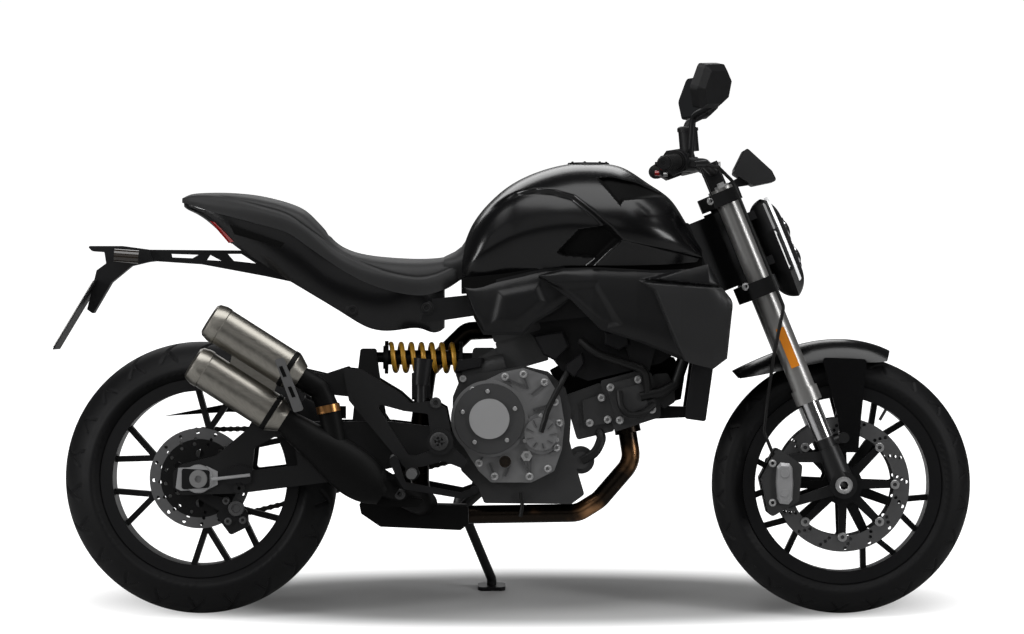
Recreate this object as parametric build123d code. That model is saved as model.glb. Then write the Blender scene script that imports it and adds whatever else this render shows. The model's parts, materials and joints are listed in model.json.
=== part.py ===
from build123d import *

import math
import os

# A standard road motorcycle parked on its side stand.
# It is modelled upright, in millimetres, with +X forward, +Y to its left and +Z up from the road,
# and X = 0 at the rear axle. The last section leans it onto the stand.

# Wheels and steering geometry
WHEELBASE = 1474.0
RAKE = 22.2
FORK_OFFSET = 26.0
LEAN = 10.0
FRONT_TYRE_R = 298.0
FRONT_TYRE_W = 120.0
FRONT_TYRE_H = 82.0
FRONT_CROWN_R = 64.0
FRONT_BEAD_W = 92.0
REAR_TYRE_R = 313.0
REAR_TYRE_W = 180.0
REAR_TYRE_H = 97.0
REAR_CROWN_R = 98.0
REAR_BEAD_W = 140.0
RIM_WALL = 16.0
RIM_FLANGE_H = 12.0
RIM_FLANGE_T = 7.0
TYRE_WALL = 13.0
AXLE_R = 12.5
AXLE_BORE_R = 8.0
RUN_FIT = 0.1
SEAT_GAP = 0.3
MOVE_GAP = 5.0

# Spokes: three groups of four arms, each pair of arms growing from one root
SPOKE_GROUPS = 3
SPOKE_ROOT_ANGLE = 22.0
SPOKE_ARM_ANGLES = (10.4, 33.5)
SPOKE_SPLIT = 0.56
SPOKE_ROOT_W = 26.0
SPOKE_ARM_W = 13.0
FRONT_SPOKE_DEPTH = 36.0
REAR_SPOKE_DEPTH = 52.0
FRONT_SPOKE_START = -42.0
REAR_SPOKE_START = 58.5
FRONT_HUB_R = 36.0
FRONT_HUB_HALF = 58.0
REAR_HUB_R = 44.0
REAR_HUB_RIGHT = 72.0
REAR_HUB_LEFT = 92.0

# Brakes
DISC_T = 5.0
FRONT_DISC_R = 154.0
FRONT_DISC_TRACK = 36.0
FRONT_DISC_Y = 66.0
CARRIER_R = 46.0
CARRIER_ARMS = 8
CARRIER_ARM_W = 15.0
REAR_DISC_R = 115.0
REAR_DISC_TRACK = 46.0
REAR_DISC_Y = 80.0
DRILL_ROWS = 16
DRILL_R = 4.0

# Chain drive
CHAIN_Y = 108.0
CHAIN_W = 22.0
CHAIN_H = 14.0
CHAIN_WAIST = 9.0
CHAIN_PITCH = 15.875
SPROCKET_R = 108.0
SPROCKET_T = 7.0
DRIVE_SPROCKET_R = 38.0
DRIVE_SPROCKET_AT = (610.0, 395.0)

# Fork, measured along its own axis from the front axle
FORK_SPACING = 206.0
FORK_INNER_R = 21.5
FORK_OUTER_R = 27.0
FORK_OUTER_LOW = 205.0
FORK_TOP = 735.0
FORK_COLLAR_R = 31.0
FORK_COLLAR_L = 34.0
LOWER_YOKE_AT = 470.0
LOWER_YOKE_T = 38.0
UPPER_YOKE_AT = 696.0
UPPER_YOKE_T = 32.0
STEM_R = 15.0
HEAD_TUBE_R = 34.0
BAR_R = 11.0
BAR_CLAMP_Y = 46.0
BAR_CENTRE = (-5.0, 778.0)
GRIP_R = 16.5
GRIP_L = 122.0
BAR_END_Y = 415.0
HEADLIGHT_W = 560.0
HEADLIGHT_H = 240.0
DASH_ROOM = 22.0
HEADLIGHT_BACK = 40.0
HEADLIGHT_SHELL = 34.0
HEADLIGHT_LENS = 30.0
GUARD_T = 4.0
# Each row is an angle round the front axle, the crown's height above the tread, the half-width
# and how far the sides drop.
GUARD_SECTIONS = (
    (70, 29, 66, 26),
    (84, 35, 75.5, 50),
    (98, 37, 75.5, 52),
    (112, 40, 75.5, 48),
    (124, 49, 72, 40),
    (134, 64, 58, 24),
)
GUARD_LEG_Y = (-81.0, -74.0)
GUARD_LUG = (42.0, 100.0)

# Chassis
ARM_RIGHT = (112.0, 140.0)
ARM_LEFT = (122.0, 150.0)
PIVOT_AT = (551.0, 398.0)
PIVOT_R = 22.0
CASE_HALF = 90.0
FRAME_PLATE = (90.0, 105.0)
PEG_PLATE_T = 24.0
MUFFLER_Y = -190.0
MUFFLER_R = 44.0
MUFFLER_ANGLE = -32.5
MUFFLER_L = 212.0
HEADER_R = 21.0
TYRE_ROOM = 21.0
SHOCK_REAR = (REAR_TYRE_R + TYRE_ROOM + 51, 590.0)
SHOCK_FRONT = (640.0, 588.0)
SHOCK_EYE_R = 16.0
SHOCK_EYE_HALF = 14.0
SPRING_R = 31.0
SPRING_WIRE_R = 5.5
SPRING_L = 0.596 * math.dist(SHOCK_REAR, SHOCK_FRONT)
SPRING_TURNS = 6.5
PLATE_W = 200.0
PLATE_L = 178.0
PLATE_T = 3.0
PLATE_HOLE_R = 3.25
PLATE_HOLE_SPACING = 140.0
SPOOL_AT = (93.0, REAR_TYRE_R - 21)
SPOOL_HOLE_R = 4.0
SPOOL_HOLE_DEPTH = 24.0

# Side stand
STAND_PIVOT = (596.0, 132.0, 246.0)
STAND_FOOT_XY = (668.0, 262.0)
STAND_FOOT_T = 9.0
STAND_FOOT_R = 27.0
STAND_LEG_R = 11.0
STAND_KNUCKLE_L = 28.0
STAND_PIN_R = 6.0

FRONT_AXLE = Vector(WHEELBASE, 0, FRONT_TYRE_R)
REAR_AXLE = Vector(0, 0, REAR_TYRE_R)
LEAN_SLOPE = math.tan(math.radians(LEAN))
RAKE_SIN = math.sin(math.radians(RAKE))
RAKE_COS = math.cos(math.radians(RAKE))
FORK = Plane(FRONT_AXLE, x_dir=(RAKE_COS, 0, RAKE_SIN), z_dir=(-RAKE_SIN, 0, RAKE_COS))
STEM_U = -FORK_OFFSET
FORK_Y = FORK_SPACING / 2


# Helpers
def side_plate(outline, y_low, y_high, corner=0.0):
    """A flat piece: an outline of (x, z) points carried across from y_low to y_high."""
    if corner:
        edge = FilletPolyline(*outline, radius=corner, close=True)
    else:
        edge = Polyline(*outline, close=True)
    flat = extrude(make_face(edge), amount=y_high - y_low, dir=(0, 0, 1))
    return Plane((0, y_high, 0), x_dir=(1, 0, 0), z_dir=(0, -1, 0)) * flat


def side_disc(centre, radius, y_low, y_high):
    """A disc across the machine, its centre given as (x, z)."""
    start = (centre[0], y_low, centre[1])
    return rod(start, (centre[0], y_high, centre[1]), radius)


def rod(start, end, radius):
    axis = Vector(end) - Vector(start)
    return Plane(start, z_dir=axis) * extrude(Circle(radius), amount=axis.length)


def cone(start, end, radius_start, radius_end):
    axis = Vector(end) - Vector(start)
    near = Plane(start, z_dir=axis) * Circle(radius_start)
    far = Plane(end, z_dir=axis) * Circle(radius_end)
    return loft([near, far])


def tube(points, radius, bend):
    path = FilletPolyline(*points, radius=bend)
    return sweep(Plane(path @ 0, z_dir=path % 0) * Circle(radius), path=path)


def turned(outline):
    """A piece turned about the Y axis from (radius, y) points."""
    return revolve(make_face(Polyline(*outline, close=True)), axis=Axis.Y)


def ring(radius_in, radius_out, y_low, y_high):
    return turned([(radius_in, y_low), (radius_out, y_low), (radius_out, y_high), (radius_in, y_high)])


def mirrored(shape):
    return mirror(shape, about=Plane.XZ)


def pair(shape):
    """The right-hand piece and its left-hand twin, as separate solids."""
    return shape + mirrored(shape)


def polar(radius, angle):
    return (radius * math.cos(math.radians(angle)), radius * math.sin(math.radians(angle)))


def fork_point(u, y, w):
    """A point given forward of the fork's axis, across, and up the fork from the axle."""
    return FORK.from_local_coords(Vector(u, y, w))


def fork_plate(outline, w_low, w_high, corner=0.0):
    """A plate across the fork: (u, y) points carried along the fork from w_low to w_high."""
    if corner:
        edge = FilletPolyline(*outline, radius=corner, close=True)
    else:
        edge = Polyline(*outline, close=True)
    return FORK * (Pos(0, 0, w_low) * extrude(make_face(edge), amount=w_high - w_low, dir=(0, 0, 1)))


def hull_section(x, z_low, z_high, w_low, w_mid, w_top):
    """A closed cross-section at x: a flat base and a crowned top, symmetrical about the centre plane."""
    rise = z_high - z_low
    right = [(w_low, z_low), (w_mid, z_low + 0.45 * rise), (w_top, z_low + 0.86 * rise)]
    points = [Vector(x, -y, z) for y, z in right] + [Vector(x, 0, z_high)]
    points += [Vector(x, y, z) for y, z in reversed(right)]
    return Face(Wire([Spline(*points), Line(points[-1], points[0])]))


def hull_loft(sections):
    return loft([hull_section(*section) for section in sections])


# Wheels
def spoke_arms(start_angle, rim_r):
    """All the spoke arms of one wheel as a flat sketch."""
    arms = Sketch()
    for group in range(SPOKE_GROUPS):
        middle = start_angle + group * 360 / SPOKE_GROUPS
        for side in (-1, 1):
            root = middle + side * SPOKE_ROOT_ANGLE
            split = polar(SPOKE_SPLIT * rim_r, root)
            arms += taper((0, 0), split, SPOKE_ROOT_W, SPOKE_ROOT_W * 0.8)
            arms += Pos(*split) * Circle(SPOKE_ROOT_W * 0.4)
            for arm in SPOKE_ARM_ANGLES:
                tip = polar(rim_r + RIM_WALL / 4, middle + side * arm)
                arms += taper(split, tip, SPOKE_ARM_W, SPOKE_ARM_W)
    return arms


def taper(start, end, width_start, width_end):
    along = (Vector(*end) - Vector(*start)).normalized()
    across = Vector(-along.Y, along.X)
    corners = [
        Vector(*start) + across * (width_start / 2),
        Vector(*start) - across * (width_start / 2),
        Vector(*end) - across * (width_end / 2),
        Vector(*end) + across * (width_end / 2),
    ]
    return make_face(Polyline(*corners, close=True))


def wheel_rim(bead_r, bead_w, start_angle, depth, hub_r, hub_right, hub_left):
    half = bead_w / 2
    outer = half + RIM_FLANGE_T
    inner_r = bead_r - RIM_WALL
    flange_r = bead_r + RIM_FLANGE_H
    barrel = turned([
        (inner_r, -outer), (flange_r, -outer), (flange_r, -half), (bead_r, -half),
        (bead_r, half), (flange_r, half), (flange_r, outer), (inner_r, outer),
    ])
    arms = extrude(spoke_arms(start_angle, inner_r), amount=depth, dir=(0, 0, 1))
    arms = Plane((0, depth / 2, 0), x_dir=(1, 0, 0), z_dir=(0, -1, 0)) * arms
    hub = rod((0, -hub_right, 0), (0, hub_left, 0), hub_r)
    bore = rod((0, -hub_right - 1, 0), (0, hub_left + 1, 0), AXLE_R + RUN_FIT)
    return barrel + arms + hub - bore


def wheel_tyre(radius, height, width, crown, bead_w):
    half = bead_w / 2
    bead_r = radius - height
    shoulder = math.radians(57)
    side_y = crown * math.sin(shoulder)
    side_r = radius - crown + crown * math.cos(shoulder)
    lip_r = bead_r + RIM_FLANGE_H + 1.5
    wall_r = (lip_r + side_r) / 2
    outer = [
        Line((bead_r, -half), (lip_r, -half)),
        Line((lip_r, -half), (lip_r, -half - 4)),
        ThreePointArc((lip_r, -half - 4), (wall_r, -width / 2), (side_r, -side_y)),
        ThreePointArc((side_r, -side_y), (radius, 0), (side_r, side_y)),
        ThreePointArc((side_r, side_y), (wall_r, width / 2), (lip_r, half + 4)),
        Line((lip_r, half + 4), (lip_r, half)),
        Line((lip_r, half), (bead_r, half)),
    ]
    bead = half - TYRE_WALL
    inner_y = side_y - TYRE_WALL
    inner_r = side_r - TYRE_WALL / 2
    inner = [
        Line((bead_r, half), (bead_r, bead)),
        Line((bead_r, bead), (inner_r, inner_y)),
        ThreePointArc((inner_r, inner_y), (radius - TYRE_WALL, 0), (inner_r, -inner_y)),
        Line((inner_r, -inner_y), (bead_r, -bead)),
        Line((bead_r, -bead), (bead_r, -half)),
    ]
    return revolve(make_face(outer + inner), axis=Axis.Y)


def front_rim():
    hub = (FRONT_HUB_R, FRONT_HUB_HALF, FRONT_HUB_HALF)
    bead_r = FRONT_TYRE_R - FRONT_TYRE_H
    return Pos(FRONT_AXLE) * wheel_rim(bead_r, FRONT_BEAD_W, FRONT_SPOKE_START, FRONT_SPOKE_DEPTH, *hub)


def front_tyre():
    return Pos(FRONT_AXLE) * wheel_tyre(FRONT_TYRE_R, FRONT_TYRE_H, FRONT_TYRE_W, FRONT_CROWN_R, FRONT_BEAD_W)


def front_discs():
    y_in = FRONT_DISC_Y - DISC_T / 2
    disc = ring(FRONT_DISC_R - FRONT_DISC_TRACK, FRONT_DISC_R, -y_in - DISC_T, -y_in)
    disc -= drilling(FRONT_DISC_R, FRONT_DISC_TRACK, -y_in - DISC_T)
    return pair(Pos(FRONT_AXLE) * disc)


def drilling(radius, track, y_low):
    """The vent holes of a disc, in slanting rows across its track."""
    holes = Sketch()
    for row in range(DRILL_ROWS):
        for across in (0.22, 0.5, 0.78):
            turn = (row + 0.5 * across) * 360 / DRILL_ROWS
            holes += Pos(*polar(radius - across * track, turn)) * Circle(DRILL_R)
    cut = extrude(holes, amount=DISC_T, dir=(0, 0, 1))
    return Plane((0, y_low + DISC_T, 0), x_dir=(1, 0, 0), z_dir=(0, -1, 0)) * cut


def disc_carriers():
    """The spiders that carry the front discs on the hub."""
    y_in = FRONT_DISC_Y - DISC_T / 2
    reach = FRONT_DISC_R - FRONT_DISC_TRACK
    arms = Circle(CARRIER_R)
    for arm in range(CARRIER_ARMS):
        arms += taper((0, 0), polar(reach + 5, arm * 360 / CARRIER_ARMS), 1.6 * CARRIER_ARM_W, CARRIER_ARM_W)
    arms = arms & Circle(reach)
    spider = extrude(arms, amount=DISC_T, dir=(0, 0, 1))
    spider = Plane((0, -y_in, 0), x_dir=(1, 0, 0), z_dir=(0, -1, 0)) * spider
    spider += rod((0, -y_in, 0), (0, -FRONT_HUB_HALF, 0), CARRIER_R)
    spider -= rod((0, 0, 0), (0, -2 * FRONT_DISC_Y, 0), AXLE_R + RUN_FIT)
    return pair(Pos(FRONT_AXLE) * spider)


def rear_rim():
    hub = (REAR_HUB_R, REAR_HUB_RIGHT, REAR_HUB_LEFT)
    bead_r = REAR_TYRE_R - REAR_TYRE_H
    return Pos(REAR_AXLE) * wheel_rim(bead_r, REAR_BEAD_W, REAR_SPOKE_START, REAR_SPOKE_DEPTH, *hub)


def rear_tyre():
    return Pos(REAR_AXLE) * wheel_tyre(REAR_TYRE_R, REAR_TYRE_H, REAR_TYRE_W, REAR_CROWN_R, REAR_BEAD_W)


def rear_disc():
    """The rear brake disc and the bell that carries it on the hub's right end."""
    y_face = -REAR_DISC_Y - DISC_T / 2
    plate = ring(AXLE_R + RUN_FIT, REAR_DISC_R, y_face, y_face + DISC_T)
    bell = ring(AXLE_R + RUN_FIT, REAR_HUB_R, y_face + DISC_T, -REAR_HUB_RIGHT)
    window_r = (REAR_HUB_R + REAR_DISC_R - REAR_DISC_TRACK) / 2
    window = (REAR_DISC_R - REAR_DISC_TRACK - REAR_HUB_R) / 2 - 3
    disc = plate + bell - drilling(REAR_DISC_R, REAR_DISC_TRACK, y_face)
    for step in range(6):
        x, z = polar(window_r, step * 60 + 30)
        disc -= side_disc((x, z), window, y_face - 1, y_face + DISC_T + 1)
    return Pos(REAR_AXLE) * disc


def rear_sprocket():
    """The driven sprocket, kept inside the chain loop, on the hub's left end."""
    tip_r = SPROCKET_R - CHAIN_H / 2 - 1.2
    y_in = CHAIN_Y - SPROCKET_T / 2
    plate = ring(AXLE_R + RUN_FIT, tip_r, y_in, y_in + SPROCKET_T)
    carrier = ring(AXLE_R + RUN_FIT, REAR_HUB_R, REAR_HUB_LEFT, y_in)
    sprocket = plate + carrier
    window_r = (REAR_HUB_R + tip_r) / 2 + 2
    for step in range(5):
        x, z = polar(window_r, step * 72 + 18)
        sprocket -= side_disc((x, z), 16, y_in - 1, y_in + SPROCKET_T + 1)
    return Pos(REAR_AXLE) * sprocket


# Fork and steering
def front_axle():
    """The hollow wheel spindle with a bright collar at its right end."""
    reach = FORK_Y + FORK_OUTER_R + 8
    spindle = rod((0, -reach, 0), (0, reach, 0), AXLE_R)
    spindle += rod((0, -reach, 0), (0, -reach + 6, 0), 1.6 * AXLE_R)
    spindle += rod((0, reach - 6, 0), (0, reach, 0), 1.4 * AXLE_R)
    spacer_in = FRONT_DISC_Y + DISC_T / 2 + 1
    spacer = rod((0, -FORK_Y + FORK_INNER_R + 8, 0), (0, -spacer_in, 0), 1.4 * AXLE_R)
    spindle += pair(spacer)
    return Pos(FRONT_AXLE) * (spindle - rod((0, -reach - 1, 0), (0, reach + 1, 0), AXLE_BORE_R))


def caliper_mounts():
    """Where the two ends of the right-hand caliper bolt on, as (u, w) in the fork's frame."""
    return (-136, 8), (-92, 104)


def fork_lowers():
    """Bright inner tube, foot with the spindle clamp, and the two caliper arms of each leg."""
    foot_half = FORK_OUTER_R - 1
    leg = FORK * rod((0, -FORK_Y, 55), (0, -FORK_Y, FORK_OUTER_LOW), FORK_INNER_R)
    leg += FORK * cone((0, -FORK_Y, 92), (0, -FORK_Y, 15), FORK_INNER_R + 4, FORK_INNER_R + 7)
    leg += FORK * rod((0, -FORK_Y - foot_half, 0), (0, -FORK_Y + foot_half, 0), 31)
    lug_u, lug_w = GUARD_LUG
    leg += FORK * rod((0, -FORK_Y, lug_w), (lug_u, -FORK_Y, lug_w), 11)
    leg += FORK * rod((lug_u, -FORK_Y - 14, lug_w), (lug_u, GUARD_LEG_Y[0] - SEAT_GAP, lug_w), 12.5)
    arm_y = (-FORK_Y - 9, -FORK_Y + 9)
    for end, root in zip(caliper_mounts(), ((-5, -3), (-4, 72))):
        flat = extrude(taper(root, end, 27, 19), amount=arm_y[1] - arm_y[0], dir=(0, 0, 1))
        place = Plane((0, arm_y[1], 0), x_dir=(1, 0, 0), z_dir=(0, -1, 0))
        leg += FORK * (place * flat)
    leg -= FORK * rod((0, -FORK_Y - 60, 0), (0, -FORK_Y + 60, 0), AXLE_R)
    return pair(leg)


def fork_uppers():
    leg = rod((0, -FORK_Y, FORK_OUTER_LOW), (0, -FORK_Y, FORK_TOP), FORK_OUTER_R)
    leg += rod((0, -FORK_Y, FORK_OUTER_LOW), (0, -FORK_Y, FORK_OUTER_LOW + FORK_COLLAR_L), FORK_COLLAR_R)
    return pair(FORK * leg)


def yoke_outline(wide, front, back):
    return [
        (front, -wide), (back, -wide + 8), (STEM_U - 34, -30), (STEM_U - 34, 30), (back, wide - 8),
        (front, wide), (front - 14, 40), (front - 14, -40),
    ]


def fork_yokes():
    """Upper and lower yokes, the stem between them and the two handlebar clamps."""
    wide = FORK_Y + FORK_OUTER_R + 10
    yokes = fork_plate(yoke_outline(wide, 38, -36), LOWER_YOKE_AT, LOWER_YOKE_AT + LOWER_YOKE_T, 9)
    yokes += fork_plate(yoke_outline(wide, 36, -34), UPPER_YOKE_AT, UPPER_YOKE_AT + UPPER_YOKE_T, 9)
    yokes += FORK * rod((STEM_U, 0, LOWER_YOKE_AT), (STEM_U, 0, UPPER_YOKE_AT), STEM_R)
    u, w = BAR_CENTRE
    for side in (-1, 1):
        y = side * BAR_CLAMP_Y
        post = fork_plate([(u - 20, y - 15), (u + 20, y - 15), (u + 20, y + 15), (u - 20, y + 15)],
                          UPPER_YOKE_AT + UPPER_YOKE_T - 1, w + 20, 6)
        yokes += post
    yokes -= FORK * rod((u, -100, w), (u, 100, w), BAR_R)
    for side in (-1, 1):
        y = side * FORK_Y
        yokes -= FORK * rod((0, y, LOWER_YOKE_AT - 40), (0, y, FORK_TOP + 40), FORK_OUTER_R)
    return yokes


def bar_route():
    """The right half of the handlebar's centre line, from the clamps to the bar end."""
    centre = fork_point(BAR_CENTRE[0], 0, BAR_CENTRE[1])
    x, z = centre.X, centre.Z
    return [(x, -95, z), (x - 22, -190, z + 16), (x - 88, -285, z + 18), (x - 118, -BAR_END_Y, z + 11)]


def handlebar():
    right = bar_route()
    left = [(x, -y, z) for x, y, z in right]
    return tube(right[::-1] + left, BAR_R, 45)


def grip_axis():
    """Inner and outer end of the right grip on the bar's straight end."""
    outer = Vector(bar_route()[-1])
    inward = (Vector(bar_route()[-2]) - outer).normalized()
    return outer + inward * GRIP_L, outer, inward


def grips():
    inner, outer, inward = grip_axis()
    grip = rod(inner, outer - inward * 6, GRIP_R)
    grip += rod(inner, inner - inward * 6, GRIP_R + 4)
    return pair(grip - rod(inner + inward * 5, outer, BAR_R))


def hand_controls():
    """Switch housing and lever perch on each side, with the brake's fluid cup on the right."""
    inner, outer, inward = grip_axis()
    start = inner + inward * SEAT_GAP
    body = rod(start, start + inward * 34, 24)
    body += rod(start + inward * 34, start + inward * 62, 18)
    body += perch_solid()
    perch = start + inward * 46
    left = mirrored(body)
    cup = perch + Vector(24, 42, 22)
    right = body + rod(perch + Vector(30, 4, -4), cup, 9) + rod(cup, cup + Vector(-4, 0, 46), 22)
    right += rod(cup + Vector(-4, 0, 46), cup + Vector(-4.6, 0, 53), 24)
    return right + left - handlebar()


def perch_solid():
    """The stub ahead of the bar that the right lever and mirror grow from."""
    inner, outer, inward = grip_axis()
    perch = inner + inward * (46 + SEAT_GAP)
    return rod(perch, perch + Vector(40, 0, -4), 13)


def hand_levers():
    inner, outer, inward = grip_axis()
    root = inner + inward * 46 + Vector(40, -8, -4)
    points = [root, root + Vector(20, -14, -2), root + Vector(10, -70, -4), root + Vector(-14, -175, -8)]
    return pair(tube(points, 6.5, 10)) - hand_controls()


def mirror_frame():
    """Centre of the right mirror head, and the plane of its glass."""
    centre = Vector(fork_point(BAR_CENTRE[0], 0, BAR_CENTRE[1])) + Vector(-22, -395, 188)
    return Plane(centre, x_dir=(-0.48, -0.877, 0), z_dir=(-0.86, 0.4707, 0.19))


MIRROR_OUTLINE = [(-66, -30), (-30, -50), (52, -54), (84, -10), (62, 46), (-28, 50), (-68, 20)]


def mirrors():
    """Each mirror's housing and its stem, rooted on the lever perch."""
    head_plane = mirror_frame()
    inner, outer, inward = grip_axis()
    outline = make_face(FilletPolyline(*MIRROR_OUTLINE, radius=14, close=True))
    shell = extrude(outline, amount=-32, dir=(0, 0, 1))
    shell = chamfer(shell.faces().sort_by(Axis.Z)[0].edges(), 13)
    perch = inner + inward * 46 + Vector(40, 0, -4)
    base = perch + Vector(-16, 0, 0)
    elbow = base + Vector(6, -8, 104)
    tip = head_plane.from_local_coords(Vector(-30, -34, -23))
    stem = tube([base, elbow, tip], 7.5, 24)
    return pair(head_plane * shell + stem) - pair(perch_solid()) - hand_controls()


def mirror_glass():
    inset = offset(make_face(FilletPolyline(*MIRROR_OUTLINE, radius=14, close=True)), amount=-5)
    return pair(mirror_frame() * extrude(inset, amount=2, dir=(0, 0, 1)))


def headlight_face(u, scale):
    """The lamp's shield shape across the fork's axis, u ahead of the fork."""
    top = HEADLIGHT_H / 2
    half = [(58, top - 2), (92, top / 3), (84, -top / 2), (34, -top - 2)]
    outline = [(y * scale, w * scale) for y, w in half]
    outline += [(-y, w) for y, w in reversed(outline)]
    edge = FilletPolyline(*outline, radius=24 * scale, close=True)
    plane = Plane((u, 0, HEADLIGHT_W), x_dir=(0, 1, 0), z_dir=(1, 0, 0))
    return FORK * (plane * make_face(edge))


def headlight_shell():
    """The lamp's rounded housing, with the brackets that hold it to both fork tubes."""
    front = HEADLIGHT_BACK + HEADLIGHT_SHELL
    steps = ((HEADLIGHT_BACK - 4, 0.74), (HEADLIGHT_BACK + 0.35 * HEADLIGHT_SHELL, 0.92), (front, 1.0))
    shell = loft([headlight_face(u, scale) for u, scale in steps])
    front = HEADLIGHT_BACK + 8
    for w in (HEADLIGHT_W - 20, HEADLIGHT_W + 90):
        arm = fork_plate(box_outline(FORK_OUTER_R + 2, front, -FORK_Y - 8, -40), w - 10, w + 10)
        arm += fork_plate(box_outline(6, front, -FORK_Y - 8, -FORK_Y + 8), w - 10, w + 10)
        arm -= FORK * rod((0, -FORK_Y, w - 20), (0, -FORK_Y, w + 20), FORK_OUTER_R)
        shell += pair(arm)
    return shell


def box_outline(u_low, u_high, y_low, y_high):
    return [(u_low, y_low), (u_high, y_low), (u_high, y_high), (u_low, y_high)]


def headlight_lens():
    front = HEADLIGHT_BACK + HEADLIGHT_SHELL
    steps = ((front, 1.0), (front + 0.6 * HEADLIGHT_LENS, 0.86), (front + HEADLIGHT_LENS, 0.56))
    return loft([headlight_face(u, scale) for u, scale in steps])


def dash():
    """The instrument pod above the lamp, with its bracket from the upper yoke."""
    low = HEADLIGHT_W + HEADLIGHT_H / 2 + DASH_ROOM
    outline = [(38, low + 54), (88, low + 98), (122, low + 26), (124, low), (70, low + 10)]
    face = make_face(FilletPolyline(*outline, radius=6, close=True))
    pod = Plane((0, 84, 0), x_dir=(1, 0, 0), z_dir=(0, -1, 0)) * extrude(face, amount=168, dir=(0, 0, 1))
    top = UPPER_YOKE_AT + UPPER_YOKE_T
    foot = Polyline((0, top), (22, top), (78, low + 12), (84, low + 26), (60, low + 42), (18, top + 12),
                    (0, top + 8), close=True)
    bracket = extrude(make_face(foot), amount=52, dir=(0, 0, 1))
    return FORK * (pod + Plane((0, 26, 0), x_dir=(1, 0, 0), z_dir=(0, -1, 0)) * bracket)


def guard_section(angle, height, half, drop):
    """A thin arch across the tyre at one angle round the front axle."""
    radius = FRONT_TYRE_R + height
    low = radius - drop
    outer = ThreePointArc((low, -half), (radius, 0), (low, half))
    inner = ThreePointArc((low, half - GUARD_T), (radius - GUARD_T, 0), (low, -half + GUARD_T))
    face = make_face([outer, inner, Line(outer @ 1, inner @ 0), Line(inner @ 1, outer @ 0)])
    return Pos(FRONT_AXLE) * (Rot(0, -angle, 0) * face)


def front_mudguard():
    """A crowned blade that lifts off the tyre at the back, with a leg on each side down to the fork foot."""
    blade = loft([guard_section(*section) for section in GUARD_SECTIONS])
    x, z = FRONT_AXLE.X, FRONT_AXLE.Z
    top = FRONT_TYRE_R - 6
    outline = [(x - 48, z + top), (x + 56, z + top - 4), (x + 40, z + 130), (x + 36, z + 74), (x - 4, z + 74),
               (x - 10, z + 150)]
    leg = side_plate(outline, *GUARD_LEG_Y, 8)
    return blade + leg + mirrored(leg)


def front_calipers():
    """A radial caliper on each side, slotted for its disc, with the disc's running room."""
    slot = DISC_T / 2 + MOVE_GAP
    y_out, y_in = -FORK_Y + 9 + SEAT_GAP - 20, -FRONT_DISC_Y + 30
    outline = [polar(104, 132), polar(172, 128), polar(188, 154), polar(184, 182), polar(108, 178)]
    face = make_face(FilletPolyline(*outline, radius=9, close=True))
    block = extrude(face, amount=y_in - y_out, dir=(0, 0, 1))
    block = FORK * (Plane((0, y_in, 0), x_dir=(1, 0, 0), z_dir=(0, -1, 0)) * block)
    block -= Pos(FRONT_AXLE) * ring(0.5 * FRONT_DISC_R, FRONT_DISC_R + MOVE_GAP,
                                    -FRONT_DISC_Y - slot, -FRONT_DISC_Y + slot)
    return pair(block) - fork_lowers()


def fork_reflectors():
    w = 340
    face = fork_plate(box_outline(-10, 10, -FORK_Y - FORK_OUTER_R - 3, -FORK_Y - 20), w - 48, w + 48)
    return pair(face - FORK * rod((0, -FORK_Y, w - 80), (0, -FORK_Y, w + 80), FORK_OUTER_R))


def brake_hoses():
    """The front brake line: from the lever down the outside of the right leg and behind it to the caliper."""
    inner, outer, inward = grip_axis()
    perch = inner + inward * 46
    y = -FORK_Y - FORK_OUTER_R - 18
    route = [perch + Vector(34, 0, -4), perch + Vector(90, 44, -14), fork_point(26, y, 740),
             fork_point(26, y, 430), fork_point(-40, y + 6, 330), fork_point(-90, -FORK_Y, 240),
             fork_point(-122, -FORK_Y + 6, 180), fork_point(-122, -FORK_Y + 6, 110)]
    hose = tube(route, 4.0, 20)
    return hose - hand_controls() - front_calipers()


# Engine
def crankcase():
    """Crankcase with its sump, water pump, gearbox output boss, shock lug and side-stand lug."""
    outline = [(578, 400), (600, 330), (638, 292), (652, 256), (852, 254), (882, 276), (866, 330), (848, 398),
               (852, 470), (838, 520), (800, 556), (740, 570), (660, 556), (600, 548), (580, 500)]
    case = side_plate(outline, -CASE_HALF, CASE_HALF, 8)
    lug = side_plate([(618, 540), (690, 552), (676, 612), (626, 612)], SHOCK_EYE_HALF + SEAT_GAP, 34, 8)
    case += pair(lug)
    drive_r = DRIVE_SPROCKET_R - CHAIN_H / 2 - 0.5
    case += side_disc(DRIVE_SPROCKET_AT, drive_r, CASE_HALF - 1, CHAIN_Y + CHAIN_W / 2)
    water_pump = (874, 354)
    case += side_disc(water_pump, 31, -78, 20) + side_disc(water_pump, 20, -CASE_HALF, -78)
    return case + stand_bracket()


def clutch_cover():
    """The right engine cover: clutch drum, pump housing and their ribbed plate."""
    face_y = -CASE_HALF - 22
    outline = [(600, 392), (640, 330), (668, 304), (760, 304), (812, 330), (830, 380), (836, 440), (826, 500),
               (796, 548), (742, 566), (694, 556), (640, 530), (594, 500), (584, 440)]
    cover = side_plate(outline, face_y, -CASE_HALF, 10)
    drum, pump = (664, 450), (782, 415)
    cover += side_disc(drum, 88, face_y - 10, face_y)
    cover += side_disc(drum, 80, face_y - 24, face_y - 10)
    cover += side_disc(drum, 46, face_y - 30, face_y - 24)
    cover += side_disc(pump, 46, face_y - 8, face_y)
    cover += side_disc(pump, 38, face_y - 18, face_y - 8)
    cover += side_disc((700, 352), 15, face_y - 12, face_y)
    for x, z in COVER_BOSSES:
        cover += side_disc((x, z), 9, face_y - 4, face_y)
    return cover


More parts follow.
